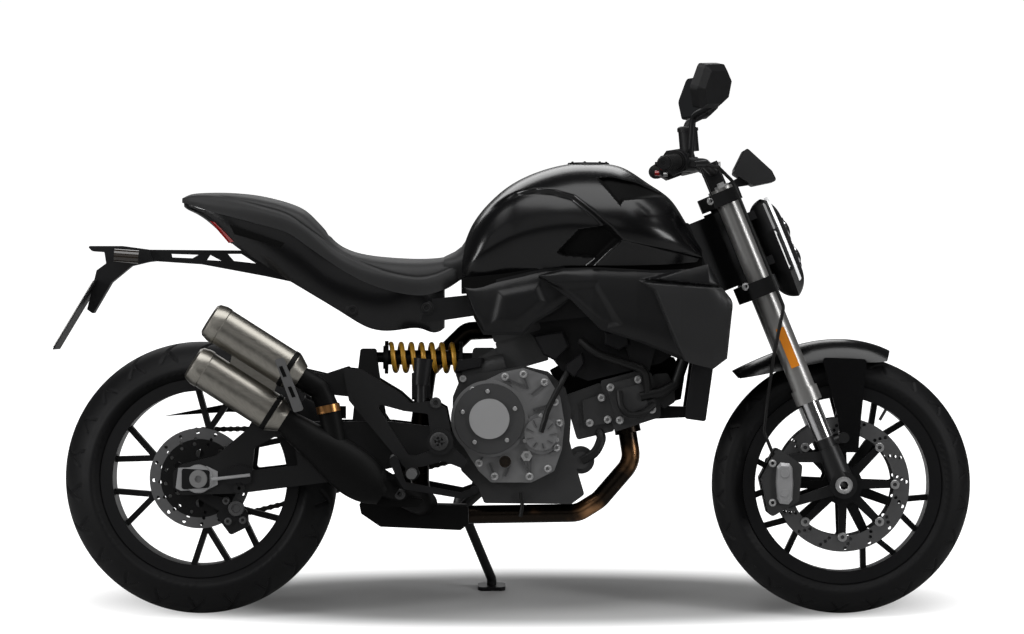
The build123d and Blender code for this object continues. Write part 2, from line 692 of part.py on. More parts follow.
def alternator_cover():
    """The left engine covers: over the alternator, and the guard over the chain's front end."""
    outline = [(668, 330), (760, 304), (816, 340), (834, 430), (812, 520), (744, 556), (676, 530), (662, 430)]
    cover = side_plate(outline, CASE_HALF, CASE_HALF + 20, 12)
    cover += side_disc((738, 436), 76, CASE_HALF + 20, CASE_HALF + 46)
    cover += side_disc((738, 436), 40, CASE_HALF + 46, CASE_HALF + 52)
    x, z = DRIVE_SPROCKET_AT
    y_in = CHAIN_Y + CHAIN_W / 2 + SEAT_GAP
    edge = [(x - 22, z - 52), (x + 34, z - 48), (x + 50, z), (x + 34, z + 52), (x - 22, z + 56)]
    lip = [(x + 46.5, z - 22), (x + 50, z - 22), (x + 50, z + 22), (x + 46.5, z + 22)]
    guard = side_plate(edge, y_in, y_in + 12, 14) + side_plate(lip, CASE_HALF, y_in + 12)
    return cover + guard


COVER_BOSSES = ((606, 480), (626, 516), (700, 546), (742, 552), (790, 534), (814, 488), (824, 440), (818, 384),
                (798, 336), (756, 318), (676, 318), (640, 348), (604, 410))
CYLINDER_ANGLE = 16.0
CYLINDER_ROOT = (852.0, 455.0)


def front_cylinder():
    """The forward cylinder: water-cooled barrel, head and cam cover along its own axis."""
    place = Pos(CYLINDER_ROOT[0], 0, CYLINDER_ROOT[1]) * Rot(0, -CYLINDER_ANGLE, 0)
    barrel = side_plate([(-2, -56), (86, -60), (86, 56), (-2, 50)], -76, 76, 6)
    barrel += pair(side_plate([(22, -34), (86, -38), (86, 30), (34, 28)], -84, -76, 6))
    head = side_plate([(86, -62), (196, -58), (204, -30), (204, 44), (186, 58), (86, 60)], -84, 84, 6)
    cam = side_plate([(204, -44), (238, -34), (246, 0), (240, 34), (204, 42)], -76, 76, 8)
    block = barrel + head + cam
    cover = [(96, -48), (186, -44), (194, -20), (194, 32), (178, 46), (96, 48)]
    block += pair(side_plate(cover, -94, -84, 6))
    block += pair(side_plate([(112, -30), (176, -28), (176, 28), (112, 30)], -100, -94, 8))
    return place * block - crankcase()


def rear_cylinder():
    """The upright cylinder, leaning back under the tank."""
    place = Pos(748, 0, 571) * Rot(0, -CYLINDER_ANGLE - 90, 0)
    barrel = side_plate([(-2, -54), (70, -54), (70, 54), (-2, 54)], -72, 72, 4)
    head = side_plate([(70, -56), (148, -56), (156, -40), (156, 40), (148, 56), (70, 56)], -80, 80, 6)
    return place * (barrel + head) - crankcase()


# Exhaust
def exhaust_headers():
    """Front and rear pipes from the cylinders to the collector box."""
    port = Vector(976, -30, 452)
    front = [port, (992, -30, 350), (916, -30, 262), (868, -30, 232), (616, -30, 228)]
    rear = [(690, 60, 654), (612, 60, 650), (520, 60, 560), (503, 60, 440), (503, 60, 300), (512, 60, 240)]
    pipes = tube(front, HEADER_R, 55) + tube(rear, HEADER_R, 30)
    pipes += rod(port, (983, -30, 416), HEADER_R + 9)
    return pipes - exhaust_box() - front_cylinder() - rear_cylinder()


def exhaust_box():
    outline = [(364, 262), (370, 232), (414, 202), (598, 194), (615, 208), (615, 250), (520, 252), (420, 252)]
    return side_plate(outline, -92, 84, 8)


def muffler_axis(front):
    """Rear and front end of a muffler whose front end is at (x, z)."""
    along = polar(MUFFLER_L, MUFFLER_ANGLE)
    return (front[0] - along[0], MUFFLER_Y, front[1] - along[1]), (front[0], MUFFLER_Y, front[1])


LOWER_MUFFLER = (176.0, 462.0)
UPPER_MUFFLER = (214.0, 560.0)


def mufflers():
    """Two stacked silencers with end caps, joined by their common hanger."""
    both = Part()
    for front in (LOWER_MUFFLER, UPPER_MUFFLER):
        rear_end, front_end = (Vector(point) for point in muffler_axis(front))
        along = (front_end - rear_end).normalized()
        can = rod(rear_end + along * 26, front_end, MUFFLER_R)
        can += cone(front_end, front_end + along * 26, MUFFLER_R, 29)
        cap = cone(rear_end + along * 26, rear_end, MUFFLER_R, MUFFLER_R - 9)
        can += cap
        can -= rod(rear_end - along, rear_end + along * 24, MUFFLER_R - 17)
        both += can
    low, high = (Vector(muffler_axis(front)[1]) for front in (LOWER_MUFFLER, UPPER_MUFFLER))
    back = Vector(muffler_axis(LOWER_MUFFLER)[0])
    along = (low - back).normalized()
    link = [low - along * 20, high - along * 20, high - along * 150, low - along * 130]
    both += side_plate([(point.X, point.Z) for point in link], MUFFLER_Y - 10, MUFFLER_Y + 10)
    hook = high - along * 16
    both += rod(hook, (hook.X, PEG_REAR_Y[0], hook.Z), 9)
    return both


# Each row is the middle's x and z, and the half-widths across the shield and across the machine.
SHIELD_SECTIONS = ((206, 441, 30, 31), (246, 412, 38, 35), (290, 380, 46, 38), (350, 334, 55, 38), (396, 300, 47, 38),
                   (424, 279, 28, 30))


def exhaust_link():
    """The pipe from the collector box to both silencers, in its black shield."""
    along = polar(26, MUFFLER_ANGLE)
    low = Vector(LOWER_MUFFLER[0] + along[0], MUFFLER_Y, LOWER_MUFFLER[1] + along[1])
    high = Vector(UPPER_MUFFLER[0] + along[0], MUFFLER_Y, UPPER_MUFFLER[1] + along[1])
    step = Vector(along[0], 0, along[1])
    main = tube([low, low + step * 5.2, (430, MUFFLER_Y, 300), (500, -140, 262), (516, -60, 254)], 29, 40)
    branch = tube([high, high + step * 1.9, (300, MUFFLER_Y, 470), (318, MUFFLER_Y, 380)], 25, 22)
    cover = loft([Plane((x, MUFFLER_Y, z), x_dir=(0.6, 0, 0.8), z_dir=(0.8, 0, -0.6)) * Ellipse(half, depth)
                  for x, z, half, depth in SHIELD_SECTIONS])
    cover += side_plate([(396, 288), (519, 268), (500, 250), (420, 250), (384, 262)], MUFFLER_Y, -88, 5)
    pipe = main + branch + cover
    return pipe - exhaust_box()


# Frame, bodywork and seat
def frame_plate():
    """The left side plate, from the steering head back into the tail."""
    outline = [(1164, 790), (1120, 898), (1094, 898), (1128, 790), (900, 772), (700, 742), (510, 722),
               (510, 668), (660, 690), (700, 640), (760, 668), (950, 690), (996, 556), (1030, 556), (1064, 690),
               (1150, 720)]
    return side_plate(outline, FRAME_PLATE[0], FRAME_PLATE[1], 5)


def frame():
    """Steering head and the two side plates that bolt to the engine."""
    lower = fork_point(STEM_U, 0, LOWER_YOKE_AT + LOWER_YOKE_T + MOVE_GAP)
    upper = fork_point(STEM_U, 0, UPPER_YOKE_AT - MOVE_GAP)
    head = rod(lower, upper, HEAD_TUBE_R)
    back = STEM_U - 84
    web = fork_plate([(STEM_U, -HEAD_TUBE_R), (back, -FRAME_PLATE[1]), (back - 24, -FRAME_PLATE[1]),
                      (back - 24, FRAME_PLATE[1]), (back, FRAME_PLATE[1]), (STEM_U, HEAD_TUBE_R)],
                     LOWER_YOKE_AT + LOWER_YOKE_T + MOVE_GAP, UPPER_YOKE_AT - 2 * MOVE_GAP)
    shape = head + pair(frame_plate()) + web
    shape -= rod(fork_point(STEM_U, 0, 0), fork_point(STEM_U, 0, 900), STEM_R + SEAT_GAP)
    front_stay = side_disc((1012, 572), 14, -FRAME_PLATE[0], FRAME_PLATE[0])
    rear_stay = side_disc((722, 668), 14, -FRAME_PLATE[0], FRAME_PLATE[0])
    return shape + front_stay + rear_stay - front_cylinder() - rear_cylinder() - fuel_tank()


def airbox():
    """The air box under the tank and the throttle bodies that fill the V between the cylinders."""
    outline = [(640, 742), (700, 754), (800, 786), (920, 799), (1080, 799), (1108, 712), (1098, 604),
               (1056, 576), (890, 536), (830, 560), (790, 610), (700, 706), (640, 712)]
    half = FRAME_PLATE[0] - 10
    return side_plate(outline, -half, half, 4) - fuel_tank() - front_cylinder() - rear_cylinder() - frame()


# Each row is x, lowest z, highest z, and the half-widths at the base, the middle and the top.
TANK_SECTIONS = (
    (602, 753, 842, 84, 92, 62),
    (625, 757, 896, 100, 118, 82),
    (660, 764, 942, 112, 138, 102),
    (710, 776, 985, 122, 156, 118),
    (770, 790, 1015, 138, 174, 128),
    (840, 799, 1034, 158, 194, 136),
    (910, 800, 1037, 178, 208, 140),
    (970, 800, 1027, 186, 212, 142),
    (1030, 801, 990, 182, 204, 138),
    (1080, 803, 954, 166, 182, 126),
    (1115, 806, 902, 146, 156, 112),
    (1150, 810, 842, 122, 126, 96),
)

SEAT_SECTIONS = (
    (-42, 945, 957, 52, 54, 46),
    (-20, 939, 966, 70, 73, 62),
    (20, 926, 969, 88, 92, 76),
    (80, 910, 968, 106, 110, 90),
    (140, 894, 961, 116, 120, 98),
    (200, 876, 946, 120, 124, 100),
    (240, 850, 928, 120, 124, 100),
    (275, 825, 895, 118, 122, 98),
    (310, 801, 856, 118, 122, 98),
    (345, 780, 836, 122, 126, 102),
    (390, 758, 825, 128, 132, 106),
    (450, 739, 819, 130, 134, 106),
    (510, 732, 817, 118, 122, 96),
    (560, 746, 821, 98, 102, 80),
    (599, 770, 833, 76, 79, 62),
)

TAIL_SECTIONS = (
    (-38, 936, 951, 40, 50, 48),
    (-14, 922, 943, 52, 68, 68),
    (20, 900, 932, 62, 82, 84),
    (80, 846, 916, 80, 102, 102),
    (140, 808, 901, 92, 112, 112),
    (200, 769, 883, 100, 116, 116),
    (240, 745, 857, 102, 116, 116),
    (275, 724, 832, 104, 116, 114),
    (310, 703, 808, 104, 116, 114),
    (345, 681, 787, 104, 118, 118),
    (390, 657, 765, 104, 122, 124),
    (450, 652, 746, 100, 120, 126),
    (510, 655, 739, 92, 108, 114),
    (560, 658, 752, 84, 98, 94),
)


def fuel_tank():
    return hull_loft(TANK_SECTIONS)


def seat():
    return hull_loft(SEAT_SECTIONS)


def flat_section(x, z_low, z_high, w_low, w_mid, w_top):
    """A closed cross-section with a flat top, for a piece that carries another."""
    right = [(w_low, z_low), (w_mid, (z_low + z_high) / 2), (w_top, z_high)]
    points = [Vector(x, -y, z) for y, z in right]
    left = [Vector(x, y, z) for y, z in reversed(right)]
    edges = [Spline(*points), Line(points[-1], left[0]), Spline(*left), Line(left[-1], points[0])]
    return Face(Wire(edges))


def tail_body():
    return loft([flat_section(*section) for section in TAIL_SECTIONS])


def tail_light():
    """The lamp set into the underside of the tail."""
    outline = [(-6, 920), (44, 884), (70, 850), (84, 862), (60, 896), (10, 924)]
    return side_plate(outline, -46, 46, 4)


def tail_unit():
    return tail_body() - tail_light() - seat() - pair(frame_plate())


def plate_hanger():
    """The long braced arm behind the tail, with the lamp housing and the drop to the number plate."""
    outline = [(-150, 838), (96, 836), (150, 800), (206, 764), (150, 776), (0, 804), (-104, 811), (-150, 806)]
    arm = side_plate(outline, -16, 16)
    for hole in ([(-70, 828), (-6, 826), (-20, 818), (-68, 820)], [(20, 826), (46, 812), (12, 814)],
                 [(60, 828), (92, 828), (126, 806), (74, 812)]):
        arm -= side_plate(hole, -20, 20)
    outline = [(-262, 846), (-250, 834), (-222, 832), (-218, 806), (-240, 790), (-262, 700), (-248, 690),
               (-206, 762), (-160, 800), (-110, 812), (-120, 838), (-180, 846)]
    return arm + side_plate(outline, -34, 34, 3) - tail_body() - number_plate()


def plate_plane():
    """The number plate's rear face: +Z looks rearward, +Y up along the plate."""
    lean = math.radians(31)
    return Plane((-290, 0, 690), x_dir=(0, -1, 0), z_dir=(-math.cos(lean), 0, math.sin(lean)))


def number_plate():
    """A blank plate with two fixing holes."""
    blank = extrude(RectangleRounded(PLATE_W, PLATE_L, 8), amount=-PLATE_T, dir=(0, 0, 1))
    for side in (-1, 1):
        hole = extrude(Circle(PLATE_HOLE_R), amount=3 * PLATE_T, both=True)
        blank -= Pos(side * PLATE_HOLE_SPACING / 2, PLATE_L / 2 - 22, 0) * hole
    return plate_plane() * blank


def rear_indicators():
    """A lamp on a short stalk on each side of the plate hanger."""
    stalk = rod((-168, -34 - SEAT_GAP, 822), (-168, -66, 822), 8)
    lamp = rod((-196, -84, 824), (-140, -84, 820), 15)
    return pair(stalk + rod((-168, -60, 822), (-168, -84, 822), 10) + lamp)


def side_panels():
    """The curved panel below the tank on each side, with the pegs that hold it to the frame."""
    outline = [(776, 776), (918, 790), (1056, 780), (1186, 750), (1214, 716), (1208, 590), (1174, 564),
               (1126, 576), (1010, 624), (918, 654), (850, 722)]
    panel = side_plate(outline, -196, -146, 10)
    trim = Plane((700, -196, 0), x_dir=(1, 0, 0), z_dir=(-0.16, -0.987, 0))
    panel -= trim * extrude(Rectangle(1200, 1200), amount=200, dir=(0, 0, 1)).moved(Location((0, 700, 0)))
    for x, z in ((880, 740), (1044, 740)):
        panel += side_disc((x, z), 11, -150, -FRAME_PLATE[1])
    return pair(panel) - fuel_tank()


def airbox_covers():
    """The panel between tank and engine on each side."""
    outline = [(607, 748), (720, 772), (790, 790), (842, 728), (812, 697), (770, 671), (739, 640), (650, 642),
               (629, 680)]
    cover = side_plate(outline, -138, -FRAME_PLATE[1], 10)
    return pair(cover) - fuel_tank() - pair(side_panel_solid())


def side_panel_solid():
    outline = [(770, 782), (918, 796), (1056, 786), (918, 648), (844, 720)]
    return side_plate(outline, -202, -142)


def radiator():
    """The radiator core with its side tanks, behind the front wheel."""
    place = Pos(1150, 0, 560) * Rot(0, 8, 0)
    core = side_plate([(-18, -110), (18, -110), (18, 118), (-18, 118)], -118, 118, 4)
    tanks = side_plate([(-24, -114), (24, -114), (24, 122), (-24, 122)], -138, -118, 6)
    shape = place * (core + pair(tanks))
    foot = side_plate([(1044, 448), (1128, 452), (1130, 476), (1050, 478)], -20, 20)
    return shape + (foot - front_cylinder())


def coolant_hoses():
    """Two hoses from the cylinder head to the radiator."""
    upper = tube([(1010, -95, 500), (1060, -95, 512), (1092, -95, 530), (1116, -95, 600)], 12, 14)
    return pair(upper) - front_cylinder() - radiator()


# Rear suspension and footrests
def arm_outline():
    z, pivot_x, pivot_z = REAR_TYRE_R, *PIVOT_AT
    return [(-58, z + 17), (-40, z + 33), (40, z + 53), (122, z + 123), (190, z + 131), (440, z + 131),
            (pivot_x + 5, pivot_z + 32), (pivot_x + 27, pivot_z + 14), (pivot_x + 27, pivot_z - 14),
            (pivot_x + 5, pivot_z - 34), (300, z - 7), (96, z - 33), (-40, z - 37), (-58, z - 19)]


def arm_holes():
    z = REAR_TYRE_R
    return ([(128, z + 71), (172, z + 95), (214, z + 95), (228, z + 31), (122, z + 19)],
            [(250, z + 97), (318, z + 97), (318, z + 45), (256, z + 33)])


def swingarm():
    """Both arms, the cross member ahead of the tyre, the pivot tube and the shock's ears."""
    right = side_plate(arm_outline(), -ARM_RIGHT[1], -ARM_RIGHT[0], 12)
    left = side_plate(arm_outline(), ARM_LEFT[0], ARM_LEFT[1], 12)
    for hole in arm_holes():
        right -= side_plate(hole, -200, 0, 6)
        left -= side_plate(hole, 0, 200, 6)
    arm = right + left
    back, axle_z = REAR_TYRE_R + TYRE_ROOM, REAR_TYRE_R
    cross = [(back, axle_z + 17), (back + 106, axle_z + 33), (back + 106, axle_z + 91), (back + 16, axle_z + 91)]
    arm += side_plate(cross, -ARM_RIGHT[0], ARM_LEFT[0], 10)
    arm += side_disc(PIVOT_AT, PIVOT_R, -ARM_RIGHT[1], ARM_LEFT[1])
    x, z = SHOCK_REAR
    root_z = axle_z + 83
    ear = side_plate([(x - 42, root_z), (x + 50, root_z), (x + 24, z - 30), (x + 18, z + 20), (x - 18, z + 20),
                      (x - 24, z - 30)], -SHOCK_EYE_HALF - SEAT_GAP - 12, -SHOCK_EYE_HALF - SEAT_GAP, 6)
    arm += pair(ear)
    spool_x, spool_z = SPOOL_AT
    for y_out, sign in ((-ARM_RIGHT[1], 1), (ARM_LEFT[1], -1)):
        mouth = (spool_x, y_out - sign * 6, spool_z)
        arm += rod(mouth, (spool_x, y_out + sign * 20, spool_z), 13)
        arm -= rod(mouth, (spool_x, y_out + sign * (SPOOL_HOLE_DEPTH - 6), spool_z), SPOOL_HOLE_R)
    for y_low, y_high in ((-ARM_RIGHT[1] - 1, -ARM_RIGHT[0] + 1), (ARM_LEFT[0] - 1, ARM_LEFT[1] + 1)):
        arm -= side_disc((0, REAR_TYRE_R), AXLE_R, y_low, y_high)
    return arm


def rear_axle():
    """The hollow spindle with its nut, adjuster blocks and wheel spacers."""
    right, left = -ARM_RIGHT[1], ARM_LEFT[1]
    x, z = 0, REAR_TYRE_R
    spindle = side_disc((x, z), AXLE_R, right - 16, left + 16)
    spindle += side_disc((x, z), 20, right - 16, right - 7)
    spindle += side_disc((x, z), 19, left + 6, left + 16)
    block = [(-38, z + 24), (26, z + 20), (26, z - 20), (-38, z - 24)]
    spindle += side_plate(block, right - 7, right, 6) + side_plate(block, left, left + 6, 6)
    spindle += side_disc((x, z), 19, -ARM_RIGHT[0], -REAR_DISC_Y - DISC_T / 2 - 1)
    spindle += side_disc((x, z), 19, CHAIN_Y + SPROCKET_T / 2 + 1, ARM_LEFT[0])
    return spindle - side_disc((x, z), AXLE_BORE_R, right - 20, left + 20)


def rear_caliper():
    """The rear caliper under the right arm, on a carrier plate from the spindle."""
    x, z = 76, REAR_TYRE_R - 88
    slot = DISC_T / 2 + MOVE_GAP
    body = [(x - 38, z + 4), (x - 10, z + 38), (x + 34, z + 14), (x + 36, z - 22), (x - 4, z - 42)]
    block = side_plate(body, -ARM_RIGHT[0] + SEAT_GAP, -REAR_DISC_Y + 26, 8)
    plate = [(-24, REAR_TYRE_R - 34), (28, REAR_TYRE_R - 36), (x + 20, z + 30), (x - 30, z + 14)]
    carrier = side_plate(plate, -ARM_RIGHT[0] + SEAT_GAP, -ARM_RIGHT[0] + 12, 6)
    carrier += side_disc((0, REAR_TYRE_R), 38, -ARM_RIGHT[0] + SEAT_GAP, -ARM_RIGHT[0] + 12)
    room = ring(0.4, REAR_DISC_R + MOVE_GAP, -REAR_DISC_Y - slot, -REAR_DISC_Y + slot)
    caliper = block + carrier - Pos(REAR_AXLE) * room
    return caliper - side_disc((0, REAR_TYRE_R), 19, -200, 0)


def shock_damper():
    """The damper body along the spring, with an eye at each end and two spring seats."""
    start, end = (Vector(point[0], 0, point[1]) for point in (SHOCK_REAR, SHOCK_FRONT))
    along = (end - start).normalized()
    middle = (start + end) / 2
    body = rod(start, end, SHOCK_EYE_HALF - 2)
    half = SPRING_L / 2 + SPRING_WIRE_R + SEAT_GAP
    body += rod(middle - along * half, middle + along * half, 17)
    for sign in (-1, 1):
        seat_at = middle + along * (sign * half)
        body += rod(seat_at, seat_at + along * (sign * 8), SPRING_R + 7)
    body += rod(start + along * 34, middle - along * half, 27)
    for point in (SHOCK_REAR, SHOCK_FRONT):
        body += side_disc(point, SHOCK_EYE_R, -SHOCK_EYE_HALF, SHOCK_EYE_HALF)
    return body


def shock_spring():
    start, end = (Vector(point[0], 0, point[1]) for point in (SHOCK_REAR, SHOCK_FRONT))
    along = (end - start).normalized()
    foot = (start + end) / 2 - along * (SPRING_L / 2)
    path = Helix(SPRING_L / SPRING_TURNS, SPRING_L, SPRING_R)
    coil = sweep(Plane(path @ 0, z_dir=path % 0) * Circle(SPRING_WIRE_R), path=path)
    return Plane(foot, z_dir=along) * coil


PEG_MAIN_Y = (-ARM_RIGHT[1] - SEAT_GAP - PEG_PLATE_T, -ARM_RIGHT[1] - SEAT_GAP)
PEG_REAR_Y = (-ARM_RIGHT[1] - 3, -ARM_RIGHT[1] + 19)
PEG_MAIN = [(330, 566), (374, 562), (460, 510), (486, 486), (536, 492), (566, 474), (584, 384), (618, 352),
            (600, 338), (560, 354), (514, 342), (474, 336), (344, 492)]
PEG_HOLE = [(404, 486), (470, 468), (524, 462), (534, 380), (496, 366), (480, 368)]
PEG_REAR = [(200, 572), (286, 552), (340, 570), (352, 500), (236, 512)]
RIDER_PEG = (488.0, 327.0)
PASSENGER_PEG = (234.0, 502.0)


def footrest_brackets():
    """The cast hanger on each side, from the pivot back to the passenger's footrest."""
    plate = side_plate(PEG_MAIN, *PEG_MAIN_Y, 6) - side_plate(PEG_HOLE, -300, 0, 6)
    plate += side_plate(PEG_REAR, *PEG_REAR_Y, 6)
    plate += side_disc(RIDER_PEG, 17, *PEG_MAIN_Y)
    plate += side_disc((552, 398), 30, PEG_MAIN_Y[0] - 6, PEG_MAIN_Y[1])
    plate += side_disc(PASSENGER_PEG, 11, PEG_REAR_Y[0] - 92, PEG_REAR_Y[1])
    right = plate
    shift = ARM_LEFT[1] - ARM_RIGHT[1]
    return right + Pos(0, shift, 0) * mirrored(plate)


def footpegs():
    """Rider's and passenger's footrests, the passenger's folded up."""
    y = PEG_MAIN_Y[0] - SEAT_GAP
    rider = side_disc(RIDER_PEG, 12, y - 96, y)
    x, z = PASSENGER_PEG
    fold_y = PEG_REAR_Y[0] - 92 - SEAT_GAP
    rest = [(x - 56, z + 84), (x - 36, z + 90), (x + 10, z - 30), (x - 12, z - 36)]
    passenger = side_plate(rest, fold_y - 22, fold_y, 5)
    right = rider + passenger
    shift = ARM_LEFT[1] - ARM_RIGHT[1]
    return right + Pos(0, shift, 0) * mirrored(right)


def foot_controls():
    """The brake pedal and its fluid cup on the right, and the gear lever on the left."""
    y = PEG_MAIN_Y[0] - SEAT_GAP
    outline = [(438, 352), (456, 366), (474, 308), (600, 284), (640, 298), (642, 284), (604, 270), (470, 292),
               (454, 318)]
    pedal = side_plate(outline, y - 62, y - 50, 4) + rod((630, y - 88, 290), (630, y - 56, 290), 9)
    pedal += side_disc((448, 356), 10, y - 62, y)
    shift = ARM_LEFT[1] - ARM_RIGHT[1]
    boss = side_disc((448, 356), 10, y, y + 10)
    cup_y = (PEG_MAIN_Y[0] + PEG_MAIN_Y[1]) / 2
    cup = rod((508, cup_y, 478), (508, cup_y, 528), 12) + cone((508, cup_y, 528), (514, cup_y, 588), 17, 22)
    cup -= side_plate(PEG_MAIN, -300, 0, 6)
    return pedal + Pos(0, shift, 0) * mirrored(pedal) - pair(boss) + cup


def chain_edge(offset_pin, offset_waist):
    """One edge of the chain: a point beside each pin and one beside each link's waist."""
    front_x, front_z = DRIVE_SPROCKET_AT
    run = math.hypot(front_x, front_z - REAR_TYRE_R)
    slope = math.atan2(front_z - REAR_TYRE_R, front_x)
    wrap = math.asin((SPROCKET_R - DRIVE_SPROCKET_R) / run)
    straight = run * math.cos(wrap)
    rear_arc = SPROCKET_R * (math.pi + 2 * wrap)
    front_arc = DRIVE_SPROCKET_R * (math.pi - 2 * wrap)
    total = 2 * straight + rear_arc + front_arc
    links = round(total / CHAIN_PITCH)
    top = slope + math.pi / 2 - wrap
    rear, front = (0, REAR_TYRE_R), DRIVE_SPROCKET_AT
    points = []
    for step in range(2 * links):
        away = offset_waist if step % 2 else offset_pin
        at = step * total / (2 * links)
        along = 0
        if at < rear_arc:
            angle, reach, centre = top + at / SPROCKET_R, SPROCKET_R, rear
        elif at < rear_arc + straight:
            angle, reach, centre = slope - math.pi / 2 + wrap, SPROCKET_R, rear
            along = at - rear_arc
        elif at < total - straight:
            turned_by = (at - rear_arc - straight) / DRIVE_SPROCKET_R
            angle, reach, centre = slope - math.pi / 2 + wrap + turned_by, DRIVE_SPROCKET_R, front
        else:
            angle, reach, centre = top, DRIVE_SPROCKET_R, front
            along = at - total + straight
        x = centre[0] + (reach + away) * math.cos(angle) - along * math.sin(angle)
        z = centre[1] + (reach + away) * math.sin(angle) + along * math.cos(angle)
        points.append((x, z))
    return points


def chain():
    """The drive chain as one closed loop, waisted between its pins as its links are."""
    y_low, y_high = CHAIN_Y - CHAIN_W / 2, CHAIN_Y + CHAIN_W / 2
    outer = side_plate(chain_edge(CHAIN_H / 2, CHAIN_WAIST / 2), y_low, y_high)
    return outer - side_plate(chain_edge(-CHAIN_H / 2, -CHAIN_WAIST / 2), y_low - 1, y_high + 1)


def chain_top(x):
    """Height of the chain's upper edge at x."""
    rear = REAR_TYRE_R + SPROCKET_R + CHAIN_H / 2
    front_x, front_z = DRIVE_SPROCKET_AT
    return rear + (front_z + DRIVE_SPROCKET_R + CHAIN_H / 2 - rear) * x / front_x


def chain_guard():
    """The strip above the chain, bolted inside the left arm."""
    y_high = ARM_LEFT[0] - SEAT_GAP
    strip = side_plate([(-95, chain_top(-95) + 26), (60, chain_top(60) + 53), (330, chain_top(330) + 41),
                        (330, chain_top(330) + 12), (60, chain_top(60) + 33)], y_high - 24, y_high)
    arm_top = REAR_TYRE_R + 131
    foot = [(180, arm_top - 4), (300, arm_top - 8), (320, chain_top(320) + 36), (170, chain_top(170) + 41)]
    tab = side_plate(foot, y_high, ARM_LEFT[0] + 6)
    return strip + (tab - side_plate(arm_outline(), 0, 200, 12))


def stand_foot():
    """Centre of the stand's foot on the road, in the upright frame."""
    x, y = STAND_FOOT_XY
    crown = REAR_CROWN_R + (FRONT_CROWN_R - REAR_CROWN_R) * x / WHEELBASE
    sink = crown * (1 / math.cos(math.radians(LEAN)) - 1)
    return Vector(x, y, y * LEAN_SLOPE - sink)


def side_stand():
    """The prop on the left, swung down, with a flat foot that lies on the road when the machine leans."""
    pivot = Vector(*STAND_PIVOT)
    foot = stand_foot()
    up = Vector(0, -math.sin(math.radians(LEAN)), math.cos(math.radians(LEAN)))
    ankle = foot + up * (STAND_FOOT_T + 14)
    axis = stand_axis()
    leg = rod(pivot, ankle, STAND_LEG_R)
    leg += rod(ankle, foot + up * (STAND_FOOT_T - 1), STAND_LEG_R)
    knuckle = rod(pivot - axis * (STAND_KNUCKLE_L / 2), pivot + axis * (STAND_KNUCKLE_L / 2), 18)
    pad = extrude(RectangleRounded(2.4 * STAND_FOOT_R, 2 * STAND_FOOT_R, 14), amount=STAND_FOOT_T, dir=(0, 0, 1))
    pad = Plane(foot, x_dir=(1, 0, 0), z_dir=up) * pad
    return leg + knuckle + pad - rod(pivot - axis * 40, pivot + axis * 40, STAND_PIN_R + RUN_FIT)


def stand_axis():
    """The stand's hinge, square to the leg when down and to where it lies when folded back."""
    down = (stand_foot() - Vector(*STAND_PIVOT)).normalized()
    folded = Vector(-0.99, 0.14, 0.0).normalized()
    return down.cross(folded).normalized()


def stand_bracket():
    """The fork-shaped bracket under the crankcase that carries the stand's hinge."""
    pivot = Vector(*STAND_PIVOT)
    axis = stand_axis()
    inner = pivot - axis * (STAND_KNUCKLE_L / 2 + SEAT_GAP)
    outer = pivot + axis * (STAND_KNUCKLE_L / 2 + SEAT_GAP)
    cheek = rod(inner, inner - axis * 12, 20)
    arm = rod(inner - axis * 7, (pivot.X + 70, CASE_HALF - 12, pivot.Z + 54), 12)
    arm -= rod(inner, outer + axis * 30, 30)
    pin = rod(inner - axis, outer + axis * 6, STAND_PIN_R) + rod(outer, outer + axis * 6, 1.8 * STAND_PIN_R)
    return cheek + arm + pin


NODES = {
    "front_rim": front_rim, "front_tyre": front_tyre, "front_discs": front_discs, "disc_carriers": disc_carriers,
    "rear_rim": rear_rim, "rear_tyre": rear_tyre, "rear_disc": rear_disc, "rear_sprocket": rear_sprocket,
    "front_axle": front_axle, "fork_lowers": fork_lowers, "fork_uppers": fork_uppers, "fork_yokes": fork_yokes,
    "handlebar": handlebar, "grips": grips, "hand_controls": hand_controls, "hand_levers": hand_levers,
    "mirrors": mirrors, "mirror_glass": mirror_glass, "headlight_shell": headlight_shell,
    "headlight_lens": headlight_lens, "dash": dash, "front_mudguard": front_mudguard,
    "front_calipers": front_calipers, "fork_reflectors": fork_reflectors, "brake_hoses": brake_hoses,
    "crankcase": crankcase, "clutch_cover": clutch_cover, "alternator_cover": alternator_cover,
    "front_cylinder": front_cylinder, "rear_cylinder": rear_cylinder,
    "exhaust_headers": exhaust_headers, "exhaust_box": exhaust_box, "exhaust_link": exhaust_link,
    "mufflers": mufflers, "frame": frame, "airbox": airbox, "fuel_tank": fuel_tank, "seat": seat,
    "tail_unit": tail_unit, "tail_light": tail_light, "plate_hanger": plate_hanger, "number_plate": number_plate,
    "rear_indicators": rear_indicators, "side_panels": side_panels, "airbox_covers": airbox_covers,
    "radiator": radiator, "coolant_hoses": coolant_hoses, "swingarm": swingarm, "rear_axle": rear_axle,
    "rear_caliper": rear_caliper, "shock_damper": shock_damper, "shock_spring": shock_spring,
    "footrest_brackets": footrest_brackets, "footpegs": footpegs, "foot_controls": foot_controls,
    "chain": chain, "chain_guard": chain_guard, "side_stand": side_stand,
}


def main():
    built = {}
    for name, make in NODES.items():
        built[name] = make()
    leaned = {name: Rot(-LEAN, 0, 0) * shape for name, shape in built.items()}
    box = Compound(children=[Compound(shape.solids()) for shape in leaned.values()]).bounding_box()
    park = Pos(-(box.min.X + box.max.X) / 2, -(box.min.Y + box.max.Y) / 2, -box.min.Z)
    os.makedirs("parts", exist_ok=True)
    for name, shape in leaned.items():
        export_step(Compound((park * shape).solids()), f"parts/{name}.step")
    print("shift onto the road", tuple(round(value, 3) for value in park.position))


main()
